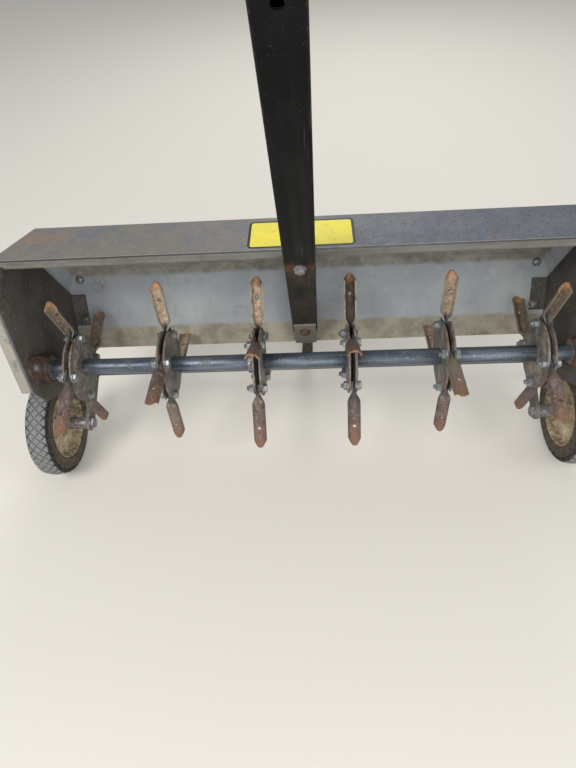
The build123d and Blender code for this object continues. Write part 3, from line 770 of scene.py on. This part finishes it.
steel = [
    # nodes, eased by, body, slot, finish
    ("front_rail", 0.7, "frame", "hood_paint", "rail"),
    ("end_plate_left end_plate_right", 0.8, "frame", "hood_paint", "plate"),
    ("bearing_left bearing_right", 1.0, "frame", "rusty_steel", "rusty"),
    ("arm_stop_left arm_stop_right", 0.7, "frame", "rusty_steel", "rusty"),
    ("tongue", 0.5, "frame", "black_paint", "black"),
    ("tongue_strap", 0.8, "frame", "black_paint", "rail"),
    ("hitch_ear_upper hitch_ear_lower", 1.0, "frame", "black_paint", "black"),
    ("pivot_tube", 0.8, "transport_axle", "tube_steel", "tube"),
    ("wheel_arm_left wheel_arm_right", 1.0, "transport_axle", "hood_paint", "rail"),
    ("lever", 0.4, "transport_axle", "black_paint", "black"),
    ("tine_shaft", 1.0, "tine_reel", "zinc_steel", "zinc"),
    ("shaft_spacers", 0.8, "tine_reel", "tube_steel", "tube"),
    (" ".join("tine_hub_%d" % i for i in range(1, 7)), 0.7, "tine_reel", "tine_steel", "hub"),
]
for nodes, eased, body, slotName, finish in steel:
    for node in nodes.split():
        settle(roundedCopy(node, eased), body, finish, [node])
print("plain steel eased")


# Spoons: a sheet folded flat at the neck that opens into a half tube with a blunt point and a
# hole. Each passes the shaft at one side, and every other one lies in the outer of two layers.

spoon = {"aside": 40.0, "neckStart": -52.0, "neckHalf": 10.0, "opens": 49.0, "full": 72.0,
         "tip": 153.0, "point": 13.0, "pointHalf": 4.0, "out": 12.0, "wall": 3.0, "hole": 115.0,
         "holeOut": 3.0, "stations": 44, "columns": 16, "layer": 2.05, "caking": 2.0, "lump": 5.0}
tineWheels = [
    # number, place in pitches, turn in degrees from the rear, soil from dark to cream
    (1, -2.5, 81.0, 0.35), (2, -1.5, 59.0, 0.9), (3, -0.5, 31.0, 0.95),
    (4, 0.5, 31.0, 0.0), (5, 1.5, 59.0, 0.7), (6, 2.5, 81.0, 0.2),
]


def spoonPlace(share, along, inner):
    # a place on the wall's outer or inner face: share from -1 to 1 over the fold, along from 0 to 1
    turn = share * pi / 2
    wide = abs(spoon["out"] * sin(turn))
    cut = unit((wide - spoon["pointHalf"]) / (spoon["out"] + 1 - spoon["pointHalf"]))
    end = spoon["tip"] - spoon["point"] * cut
    reach = spoon["neckStart"] + (end - spoon["neckStart"]) * along
    opened = unit((reach - spoon["opens"]) / (spoon["full"] - spoon["opens"]))
    opened = opened * opened * (3 - 2 * opened)
    thick = spoon["wall"] if inner else 0.0
    radius = spoon["out"] - thick
    bow = copysign(min(1.0, abs(share) * 5) ** 0.5, share) if share else 0.0
    bow *= 0.12 if inner else 2.0
    rise = -spoon["neckHalf"] + thick * 0.7 + (2 * spoon["neckHalf"] - thick * 0.7) * abs(share)
    return (bow + (radius * sin(turn) - bow) * opened, reach,
            rise - (radius * cos(turn) + rise) * opened)


def spoonTemplate():
    bm = bmesh.new()
    stations, columns = spoon["stations"], spoon["columns"]
    grids = [[[bm.verts.new(spoonPlace(-1 + 2 * k / columns, i / stations, inner))
               for k in range(columns + 1)] for i in range(stations + 1)]
             for inner in (False, True)]
    for rows in grids:
        for one, two in zip(rows, rows[1:]):
            bridge(bm, one, two, closed=False)
    for k in (0, -1):
        bridge(bm, *([row[k] for row in rows] for rows in grids), closed=False)
    for i in (0, -1):
        bridge(bm, grids[0][i], grids[1][i], closed=False)
    piece = pieceFrom("spoonTemplate", bm, unmoved, None)
    drill = bmesh.new()
    bmesh.ops.create_cone(drill, cap_ends=True, segments=20, radius1=spoon["holeOut"],
                          radius2=spoon["holeOut"], depth=40,
                          matrix=Matrix.Translation((0, spoon["hole"], 0)))
    cutAway(piece, pieceFrom("holeTool", drill, unmoved))
    mesh = piece.data
    for mark in ("inside", "wallEdge", "hollow"):
        mesh.attributes.new(mark, "FLOAT", "POINT")
    marks = mesh.attributes
    for i, vertex in enumerate(mesh.vertices):
        across, reach, up = vertex.co
        deep = hypot(across, up) < spoon["out"] - spoon["wall"] * 0.6
        hollow = unit((reach - spoon["opens"] - 4) / 16) if deep else 0.0
        away = unit((-up - 0.5) / 4)
        fromHole = hypot(across, reach - spoon["hole"]) - spoon["holeOut"]
        fromTip = spoon["tip"] - 1.5 - reach
        marks["inside"].data[i].value = (hollow * away * unit((fromHole - 0.4) / 2)
                                         * unit(fromTip / 5))
        marks["hollow"].data[i].value = hollow
        marks["wallEdge"].data[i].value = float(up > -0.4 and reach > spoon["opens"] + 6)
    mesh.transform(Matrix.Translation((0, 0, -spoon["aside"])))
    return piece


def ringTree():
    # copies of a template round the X axis, each with its own tone, with lumps grown where
    # "inside" is marked
    tree, given = startTree("ringOfCopies", [
        ("Template", "Object", None), ("Count", "Int", 4), ("Start", "Float", 0.0),
        ("Place", "Float", 0.0), ("Layer", "Float", 0.0), ("Caking", "Float", 0.0),
        ("Lump", "Float", 5.0), ("Soil", "Float", 0.0), ("Seed", "Int", 1),
        ("Finish", "Material", None)])
    template = addNode(tree, "GeometryNodeObjectInfo", {"Object": given["Template"]}, "Geometry")
    index = addNode(tree, "GeometryNodeInputIndex")
    odd = mathNode(tree, "MULTIPLY_ADD", mathNode(tree, "MODULO", index, 2), 2, -1)
    across = mathNode(tree, "MULTIPLY_ADD", odd, given["Layer"], given["Place"])
    step = mathNode(tree, "DIVIDE", 2 * pi, given["Count"])
    turn = mathNode(tree, "MULTIPLY_ADD", index, step, given["Start"])
    spots = addNode(tree, "GeometryNodeSetPosition", {
        "Geometry": addNode(tree, "GeometryNodePoints", {"Count": given["Count"]}),
        "Position": addNode(tree, "ShaderNodeCombineXYZ", {"X": across})})
    held = addNode(tree, "GeometryNodeInstanceOnPoints", {
        "Points": spots, "Instance": template,
        "Rotation": addNode(tree, "ShaderNodeCombineXYZ", {"X": turn})})
    tone = addNode(tree, "FunctionNodeRandomValue", {"Seed": given["Seed"]}, 1)
    for label, value in (("tone", tone), ("soil", given["Soil"])):
        held = addNode(tree, "GeometryNodeStoreNamedAttribute",
                       {"Geometry": held, "Name": label, "Value": value}, domain="INSTANCE")
    real = addNode(tree, "GeometryNodeRealizeInstances", {0: held})
    lumps = addNode(tree, "ShaderNodeTexNoise", {
        "Vector": addNode(tree, "GeometryNodeInputPosition"), "Detail": 4.0, "Roughness": 0.7,
        "Scale": mathNode(tree, "DIVIDE", 1.0, given["Lump"])}, "Fac")
    raised = mathNode(tree, "MULTIPLY", mathNode(tree, "SUBTRACT", lumps, 0.3), given["Caking"])
    marked = addNode(tree, "GeometryNodeInputNamedAttribute", {"Name": "inside"}, data_type="FLOAT")
    lift = addNode(tree, "ShaderNodeVectorMath", {
        0: addNode(tree, "GeometryNodeInputNormal"),
        "Scale": mathNode(tree, "MULTIPLY", raised, marked)}, operation="SCALE")
    moved = addNode(tree, "GeometryNodeSetPosition", {"Geometry": real, "Offset": lift})
    return endTree(tree, moved, given["Finish"])


ring = ringTree()
template = spoonTemplate()
for number, place, turn, soil in tineWheels:
    piece = growPiece("spoonSet%d" % number, ring, None, {
        "Template": template, "Count": 4, "Start": radians(turn), "Place": place * pitch,
        "Layer": copysign(spoon["layer"], place), "Caking": spoon["caking"],
        "Lump": spoon["lump"], "Soil": soil, "Seed": number * 7, "Finish": finishes["spoon"]})
    settle(piece, "tine_reel", "spoon", ["spoons_%d" % number])
bpy.data.objects.remove(template)
print("spoons grown:", len(tineWheels) * 4)


# Bolts: one hex head and one nut with its thread end, on points that carry their axis

fastener = {"flats": 13.0, "head": 5.5, "nut": 6.5, "washerOut": 9.0, "washer": 1.5,
            "threadOut": 4.0, "threadPast": 4.5}


def hexPrism(bm, flats, low, high):
    # a hex with its upper corners rounded off
    half = flats / 2
    corner = half / cos(pi / 6)
    rings = []
    for level, outs, drops in ((low, (corner, half), (0, 0)), (high, (corner, half), (0.14, 0.03)),
                               (high, (half * 0.93, half * 0.93), (0, 0))):
        rings.append([bm.verts.new((outs[i % 2] * c, outs[i % 2] * s, level - half * drops[i % 2]))
                      for i, (c, s) in enumerate(circle(12))])
    skin(bm, rings)


def fastenerTemplate(kind):
    # a washer with a head on it, or with a nut and the thread's end
    bm = bmesh.new()
    out, flat, thread = fastener["washerOut"], fastener["washer"], fastener["threadOut"]
    top = flat + fastener[kind]
    turnUp(bm, [(out, -0.2), (out, flat - 0.3), (out - 0.4, flat)], 20)
    hexPrism(bm, fastener["flats"], flat - 0.1, top)
    if kind == "nut":
        profile = [(thread, flat)]
        for i in range(3):
            up = top + 0.4 + i * 1.25
            profile += [(thread - 0.45, up), (thread, up + 0.6)]
        turnUp(bm, profile + [(thread - 0.9, top + fastener["threadPast"])], 14)
    return pieceFrom(kind + "Template", bm, unmoved, None)


def fastenerTree():
    # copies of a template on points, aimed along each point's axis and turned about it
    tree, given = startTree("fasteners", [
        ("Template", "Object", None), ("Size", "Float", 1.0), ("Seed", "Int", 3),
        ("Finish", "Material", None)])
    axis = addNode(tree, "GeometryNodeInputNamedAttribute", {"Name": "axis"},
                   data_type="FLOAT_VECTOR")
    spin = addNode(tree, "FunctionNodeRandomValue", {"Seed": given["Seed"]}, 1)
    spin = mathNode(tree, "MULTIPLY", spin, 2 * pi)
    turned = addNode(tree, "FunctionNodeRotateRotation", {
        "Rotation": addNode(tree, "FunctionNodeAlignRotationToVector", {"Vector": axis}, axis="Z"),
        "Rotate By": addNode(tree, "ShaderNodeCombineXYZ", {"Z": spin})}, rotation_space="LOCAL")
    copies = addNode(tree, "GeometryNodeInstanceOnPoints", {
        "Points": given["Geometry"], "Rotation": turned, "Scale": given["Size"],
        "Instance": addNode(tree, "GeometryNodeObjectInfo", {"Object": given["Template"]},
                            "Geometry")})
    return endTree(tree, addNode(tree, "GeometryNodeRealizeInstances", {0: copies}),
                   given["Finish"])


fasteners = fastenerTree()
templates = {kind: fastenerTemplate(kind) for kind in ("head", "nut")}


def placeFasteners(name, kind, spots, body, finish, size=1.0):
    # spots are (place, axis) pairs
    mesh = bpy.data.meshes.new(name)
    mesh.from_pydata([place for place, axis in spots], [], [])
    axes = mesh.attributes.new("axis", "FLOAT_VECTOR", "POINT")
    for i, (place, axis) in enumerate(spots):
        axes.data[i].vector = axis
    piece = growPiece(name, fasteners, mesh, {"Template": templates[kind], "Size": size,
                                              "Seed": len(name), "Finish": finishes[finish]})
    return settle(piece, body, finish)


def onPanel(one, two, across, along, depth, way):
    # a spot so far along a hood panel and so far inside its outer face, its axis into the hood
    # where the way is 1
    run = Vector((two[0] - one[0], two[1] - one[1])).normalized()
    return ((across, one[0] + run.x * along + run.y * depth,
             one[1] + run.y * along - run.x * depth), (0, way * run.y, -way * run.x))


def onTongue(rear, up, way):
    # a spot on the tongue's middle line, its axis up where the way is 1
    return (0, rear, up), (0, 0, way)


bearing = {"boltOut": 56.0, "turn": radians(15.0), "flange": 4.0}
corner = {"across": 470.0, "along": (20.0, 106.0), "depth": (2.5, 5.5)}  # on the rear panel
heads, nuts = [], []
for side in sides.values():
    for way in (-1, 1):
        spot = (way * bearing["boltOut"] * cos(bearing["turn"]),
                way * bearing["boltOut"] * sin(bearing["turn"]))
        heads.append(((side * (plate["face"] - bearing["flange"]), *spot), (-side, 0, 0)))
        nuts.append(((side * plate["outer"], *spot), (side, 0, 0)))
    for along, depth in zip(corner["along"], corner["depth"]):
        panel = (hood["rearFold"], hood["skirtFold"], side * corner["across"], along)
        heads.append(onPanel(*panel, depth, 1))
        nuts.append(onPanel(*panel, 0, -1))
placeFasteners("frameBolts", "head", heads, "frame", "bolt")
placeFasteners("frameNuts", "nut", nuts, "frame", "bolt", 0.85)

panel = (hood["skirtFold"], hood["skirtEdge"], 0, tongue["skirtBolt"])
heads = [onTongue(tongue["bolt"], tongue["bottom"], -1), onPanel(*panel, 0, -1)]
nuts = [onTongue(tongue["bolt"], tongue["top"], 1), onTongue(tongue["strapBolt"], tongue["top"], 1),
        onPanel(*panel, hood["sheet"] + tongue["strap"], 1)]
for rear in tongue["ears"]:
    heads.append(onTongue(rear, tongue["top"] + tongue["ear"], 1))
    nuts.append(onTongue(rear, tongue["bottom"] - tongue["ear"], -1))
strapHead = onTongue(tongue["strapBolt"], tongue["bottom"] - tongue["strap"], -1)
placeFasteners("tongueBolts", "head", heads, "frame", "bolt", 1.2)
placeFasteners("strapBolt", "head", [strapHead], "frame", "rusty", 1.2)
placeFasteners("tongueNuts", "nut", nuts, "frame", "bolt")

hubBolt = {"out": spoon["aside"] * sqrt(2), "face": 8.05}
heads, nuts = [], []
for number, place, turn, soil in tineWheels:
    for quarter in range(4):
        way = radians(turn + 45 + 90 * quarter)
        spot = (hubBolt["out"] * cos(way), hubBolt["out"] * sin(way))
        heads.append(((place * pitch + hubBolt["face"], *spot), (1, 0, 0)))
        nuts.append(((place * pitch - hubBolt["face"], *spot), (-1, 0, 0)))
placeFasteners("tineBolts", "head", heads, "tine_reel", "zinc", 1.1)
placeFasteners("tineNuts", "nut", nuts, "tine_reel", "zinc", 1.1)
for template in templates.values():
    bpy.data.objects.remove(template)
print("fasteners placed")


# Washers, split pins, the set collar and the bearings' inner rings

splitPin = {"thick": 2.24, "head": 5.0, "loop": 2.6, "legs": ((4.0, 2.5), (6.0, 6.5))}
trim = [
    # piece, body, slot, finish, sides, (rear, up) place,
    # rings on each side as (from, to, inner, outer, ease), split pins as (across, shaft's radius)
    ("shaftWashers", "tine_reel", "zinc_steel", "zinc", (-1, 1), (0, 0),
     [(482.65, 483.85, 9.625, 18.0, 0.2), (498.4, 500.4, 9.625, 17.0, 0.4)], [(502.6, 9.525)]),
    ("setCollar", "tine_reel", "zinc_steel", "bolt", (1,), (0, 0),
     [(-106.6, -94.6, 15.05, 20.5, 1.0)], []),
    ("pivotWashers", "transport_axle", "zinc_steel", "bolt", (-1, 1), transport["pivot"],
     [(498.3, 500.3, 8.1, 15.0, 0.4)], [(503.0, 8.0)]),
    ("bearingRings", "frame", "rusty_steel", "bolt", (-1, 1), (0, 0),
     [(483.0, 484.0, 10.2, 13.0, 0.3), (483.2, 484.0, 19.5, 22.5, 0.3)], []),
]


def addSplitPin(bm, place, across, out):
    # a pin through a shaft's end: a loop on one side and two bent legs on the other
    half = splitPin["thick"] / 2
    for leg in (-1, 1):
        line = [(-out - splitPin["head"], 0), (out, 0)]
        line += [(out + far, leg * bend) for far, bend in splitPin["legs"]]
        skin(bm, [[bm.verts.new((across + bend + half * (leg + c), place[0] + far,
                                 place[1] + half * s)) for c, s in circle(8)]
                  for far, bend in line])
    torusAround(bm, (across, place[0] - out - splitPin["head"] - 1.5, place[1]), (0, 0, 1),
                splitPin["loop"], half, 16)


for name, body, slotName, finish, ways, place, rings, pins in trim:
    bm = bmesh.new()
    for side in ways:
        for low, high, inner, outer, ease in rings:
            sideRing(bm, side, (low, high), inner, outer, place, ease)
        for across, out in pins:
            addSplitPin(bm, place, side * across, out)
    settle(pieceFrom(name, bm), body, finish)


# Weld beads where the arms and the lever meet the cross tube

weld = {"across": 469.4, "out": 15.0, "thick": 2.2, "wobble": 0.5,
        "leverTurn": radians(32.0), "leverOut": 13.6, "leverAlong": 15.5}
bm = bmesh.new()
for side in sides.values():
    torusAround(bm, (side * weld["across"], *transport["pivot"]), (1, 0, 0), weld["out"],
                weld["thick"], 40, weld["wobble"], side)
leverRun = Vector((0, cos(weld["leverTurn"]), sin(weld["leverTurn"])))
torusAround(bm, Vector((0, *transport["pivot"])) + leverRun * weld["leverAlong"], leverRun,
            weld["leverOut"], weld["thick"], 36, weld["wobble"], 5)
settle(pieceFrom("weldBeads", bm, angle=60), "transport_axle", "rusty")
print("trim made")


# Wheels: a tyre with tread blocks in a ring of copies, a dished rim with ribs, and the axle bolt

def treadPlace(over, deep):
    # a place on the tread: arc length over its crown and shoulders, and depth under its surface
    flat, shoulder = wheel["half"] - wheel["shoulder"], wheel["shoulder"]
    if abs(over) <= flat:
        return over, wheel["radius"] - wheel["crown"] * (over / flat) ** 2 - deep
    turn = min(pi / 2, (abs(over) - flat) / shoulder)
    radius = shoulder - deep
    return (copysign(flat + radius * sin(turn), over),
            wheel["radius"] - wheel["crown"] - shoulder + radius * cos(turn))


def wheelRing(name, side, start, face, steps):
    # a profile's start, an outer face and the face's mirror image, turned about the axle
    profile = start + face + [(-across, out) for across, out in reversed(face)]
    bm = bmesh.new()
    latheAcross(bm, [(across + side * wheel["middle"], out) for across, out in profile],
                wheel["place"], steps)
    return pieceFrom(name, bm, angle=40)


def treadTemplate():
    # one pitch of the tread: lozenge blocks between crossing grooves
    bm = bmesh.new()
    halfOver, halfTurn, groove = wheel["blockHalf"], pi / wheel["pitches"], wheel["grooveHalf"]
    corners = [(1, 0), (0, 1), (-1, 0), (0, -1), (1, 0)]

    def spot(over, around, deep):
        across, out = treadPlace(max(-wheel["overEnd"], min(wheel["overEnd"], over)), deep)
        return bm.verts.new((across, out * cos(around), out * sin(around)))

    for column in range(-3, 4):
        middle, phase = column * halfOver, halfTurn * (column % 2)
        rings = []
        for shrink, deep in ((groove, wheel["grooveDeep"] + 0.3), (groove + 0.15, 0.45),
                             (groove + 0.7, 0.0)):
            scale = 1 - shrink * hypot(1 / halfOver, 1 / (wheel["radius"] * halfTurn))
            rings.append([])
            for one, two in zip(corners, corners[1:]):
                for part in (0, 1 / 3, 2 / 3):
                    over, around = (scale * (one[k] + (two[k] - one[k]) * part) for k in (0, 1))
                    rings[-1].append(spot(middle + halfOver * over, phase + halfTurn * around,
                                          deep))
        for one, two in zip(rings, rings[1:]):
            bridge(bm, one, two)
        peak = spot(middle, phase, 0.0)
        for one, two in zip(rings[-1], rings[-1][1:] + rings[-1][:1]):
            bm.faces.new((one, two, peak))
    bmesh.ops.remove_doubles(bm, verts=bm.verts, dist=0.001)
    bmesh.ops.dissolve_degenerate(bm, edges=bm.edges, dist=0.001)
    return pieceFrom("treadTemplate", bm, unmoved, None)


def ribTemplate():
    # one rib on each face of the disc, from the hub tube to the barrel
    bm = bmesh.new()
    foot, crest = wheel["ribFoot"], wheel["ribCrest"]
    for way in (-1, 1):
        rows = []
        for out, high in wheel["ribLine"]:
            section = [(1.5, -foot), (high - 1.0, -crest), (high, 0.8 - crest),
                       (high, crest - 0.8), (high - 1.0, crest), (1.5, foot)]
            rows.append([bm.verts.new((way * across, out, aside)) for across, aside in section])
        skin(bm, rows, closed=False)
    return pieceFrom("ribTemplate", bm, unmoved, None)


def joinPieces(main, other):
    # adds the other piece's mesh to the main one
    bm = bmesh.new()
    bm.from_mesh(main.data)
    bm.from_mesh(other.data)
    bm.to_mesh(main.data)
    bm.free()
    bpy.data.objects.remove(other)
    shadePiece(main.data, 40)


axle = {"out": 8.0, "past": 8.0, "ease": 0.8, "play": 1.0, "sleeveOut": 13.0, "washerOut": 15.0,
        "washer": 1.6, "flats": 22.0, "nut": 5.4, "head": 6.4}


def axlePiece(name, side):
    # hex head inside the arm, the sleeve up to the wheel, a washer and hex nut outside
    bm = bmesh.new()
    inner = transport["armFace"] - transport["armThick"]
    outside = wheel["middle"] + wheel["half"] + axle["play"]
    low, high = sorted((side * (inner - axle["past"]), side * (outside + axle["past"])))
    latheAcross(bm, [(low, axle["out"] - axle["ease"]), (low + axle["ease"], axle["out"]),
                     (high - axle["ease"], axle["out"]), (high, axle["out"] - axle["ease"])],
                wheel["place"], 32, closed=False)
    sleeve = (transport["armFace"], wheel["middle"] - wheel["half"] - axle["play"])
    for span, outer, ease in ((sleeve, axle["sleeveOut"], 0.6),
                              ((outside, outside + axle["washer"]), axle["washerOut"], 0.4),
                              ((inner - axle["washer"], inner), axle["washerOut"], 0.4)):
        sideRing(bm, side, span, axle["out"], outer, wheel["place"], ease)
    for seat, way, thick in ((outside + 1.5, side, axle["nut"]),
                             (inner - 1.5, -side, axle["head"])):
        hexNut = bmesh.new()
        hexPrism(hexNut, axle["flats"], 0.0, thick)
        hexNut.transform(Matrix.Translation((side * seat, *wheel["place"]))
                         @ Matrix.Rotation(way * pi / 2, 4, "Y"))
        mesh = meshFrom("nutShape", hexNut)
        bm.from_mesh(mesh)
        bpy.data.meshes.remove(mesh)
    return settle(pieceFrom("axleBolt" + name.capitalize(), bm), "transport_axle",
                  "bolt", ["axle_" + name])


tread = [treadPlace(wheel["overEnd"] * (i / 10 - 1), wheel["grooveDeep"]) for i in range(21)]
wheelParts = [
    # part, slot, template, copies, profile's start, its face, steps
    ("tyre", "tyre_rubber", treadTemplate(), wheel["pitches"], tread, wheel["wall"], 72),
    ("rim", "rim_paint", ribTemplate(), wheel["ribs"], [], wheel["rimFace"], 64),
]
for name, side in sides.items():
    wheelPlace = toRow @ Matrix.Translation((side * wheel["middle"], *wheel["place"]))
    for part, slotName, template, count, start, face, steps in wheelParts:
        copies = growPiece(part + "Copies", ring, None, {
            "Template": template, "Count": count, "Finish": finishes[part]}, wheelPlace)
        piece = wheelRing(part + name.capitalize(), side, start, face, steps)
        joinPieces(piece, copies)
        settle(piece, "wheel_" + name, part, [part + "_" + name])
    axlePiece(name, side)
for part in wheelParts:
    bpy.data.objects.remove(part[2])
print("wheels made")


# Grip: a ribbed rubber sleeve with a round end, its end on the floor

grip = {"out": 16.0, "length": 125.0, "reach": 690.0, "bendPlace": (399.733, 187.428),
        "bore": 12.55, "ribs": 12, "ribsFrom": 9.0, "ribsTo": 110.0}


def gripPiece():
    out, length = grip["out"], grip["length"]
    wide = (grip["ribsTo"] - grip["ribsFrom"]) / grip["ribs"]
    profile = [(grip["bore"], 0.0), (out - 1.2, 0.0), (out, 1.2), (out, 7.0)]
    for i in range(grip["ribs"]):
        profile += [(out - deep, grip["ribsFrom"] + wide * (i + at))
                    for deep, at in ((1.3, 0), (1.3, 0.3), (0.3, 0.45), (0.3, 0.9))]
    profile.append((out, length - 12.0))
    for i in range(9):
        turn = pi / 2 * i / 9
        profile.append((out * cos(turn), length + out * sin(turn)))
    profile.append((0.3, length + out))
    bm = bmesh.new()
    turnUp(bm, profile, 36)
    end = noseUp.inverted() @ Vector((0, grip["reach"], out - shaftPlace.z * 1000))
    run = (end - Vector((0, *grip["bendPlace"]))).normalized()
    aim = run.to_track_quat("Z", "X").to_matrix().to_4x4()
    return pieceFrom("leverGripSleeve", bm,
                     toRow @ Matrix.Translation(end - run * length) @ aim, 40)


settle(gripPiece(), "transport_axle", "grip", ["lever_grip"])


# Blank label on the front panel

label = {"across": 2.0, "wide": 180.0, "high": 84.0, "along": 56.0, "corner": 9.0, "border": 4.5,
         "thick": 0.25, "sunk": 0.1}


def labelSheet(name, inset, lift, finish):
    # a sheet with round corners on the panel's outer face
    run = Vector((0, hood["rim"][0] - hood["frontFold"][0],
                  hood["rim"][1] - hood["frontFold"][1])).normalized()
    out = Vector((0, run.z, -run.y))
    middle = Vector((label["across"], *hood["frontFold"])) + run * label["along"]
    radius = label["corner"] - inset
    halfWide, halfHigh = (label[size] / 2 - inset - radius for size in ("wide", "high"))
    outline = []
    for quarter, (wide, high) in enumerate(((1, 1), (-1, 1), (-1, -1), (1, -1))):
        for i in range(7):
            turn = radians(90 * quarter + 15 * i)
            outline.append((wide * halfWide + radius * cos(turn),
                            high * halfHigh + radius * sin(turn)))
    bm = bmesh.new()
    skin(bm, [[bm.verts.new(middle + Vector((across, 0, 0)) + run * down + out * level)
               for across, down in outline] for level in (-label["sunk"], lift)])
    return settle(pieceFrom(name, bm), "frame", finish)


labelSheet("labelBorder", 0.0, label["thick"], "ink")
labelSheet("labelFace", label["border"], label["thick"] * 1.6, "yellow")
print("label and grip made")


# Floor, lamps, world and camera

stage = {"floorHalf": 6.0, "floorColour": "#cfcac0", "aim": (0.0, -0.05, 0.35),
         "sky": (0.93, 0.96, 1.0, 1.0), "skyStrength": 0.55}
bm = bmesh.new()
bmesh.ops.create_grid(bm, x_segments=1, y_segments=1, size=stage["floorHalf"])
floor = linkPiece("floor", meshFrom("floor", bm))
floorPaint = bpy.data.materials.new("floorPaint")
floorPaint.use_nodes = True
inputs = floorPaint.node_tree.nodes["Principled BSDF"].inputs
inputs["Base Color"].default_value = hexColour(stage["floorColour"])
inputs["Roughness"].default_value = 0.9
floor.data.materials.append(floorPaint)

lamps = [
    # name, place, size, watts
    ("keyLamp", (-1.5, -2.1, 2.8), 1.6, 80.0),
    ("frontLamp", (0.5, -2.9, 1.3), 2.2, 34.0),
    ("fillLamp", (2.4, -1.4, 1.8), 2.0, 26.0),
    ("backLamp", (0.4, 2.6, 2.4), 1.8, 40.0),
]
for name, place, size, watts in lamps:
    lamp = bpy.data.lights.new(name, "AREA")
    lamp.shape = "DISK"
    lamp.size = size
    lamp.energy = watts
    aim = (Vector(stage["aim"]) - Vector(place)).to_track_quat("-Z", "Y").to_matrix().to_4x4()
    linkPiece(name, lamp).matrix_world = Matrix.Translation(place) @ aim
world = bpy.data.worlds.new("studio")
world.use_nodes = True
world.node_tree.nodes["Background"].inputs["Color"].default_value = stage["sky"]
world.node_tree.nodes["Background"].inputs["Strength"].default_value = stage["skyStrength"]
bpy.context.scene.world = world

view = {"place": (0.0237, -0.9301, 1.0409), "yaw": -4.41, "down": 46.31, "roll": -4.86,
        "lens": 26.79, "sensor": 36.0}
yaw, down, roll = (radians(view[k]) for k in ("yaw", "down", "roll"))
ahead = Vector((sin(yaw) * cos(down), cos(yaw) * cos(down), -sin(down)))
level = Vector((cos(yaw), -sin(yaw), 0))
right = level * cos(roll) + level.cross(ahead) * sin(roll)
upward = right.cross(ahead)
lens = bpy.data.cameras.new("photoCamera")
lens.sensor_fit = "VERTICAL"
lens.sensor_height = view["sensor"]
lens.lens = view["lens"]
lens.clip_start = 0.01
camera = linkPiece("photoCamera", lens)
turned = Matrix((right, upward, -ahead)).transposed().to_4x4()
camera.matrix_world = Matrix.Translation(view["place"]) @ turned
bpy.context.scene.camera = camera
bpy.context.scene.view_settings.view_transform = "Standard"
print("stage set")
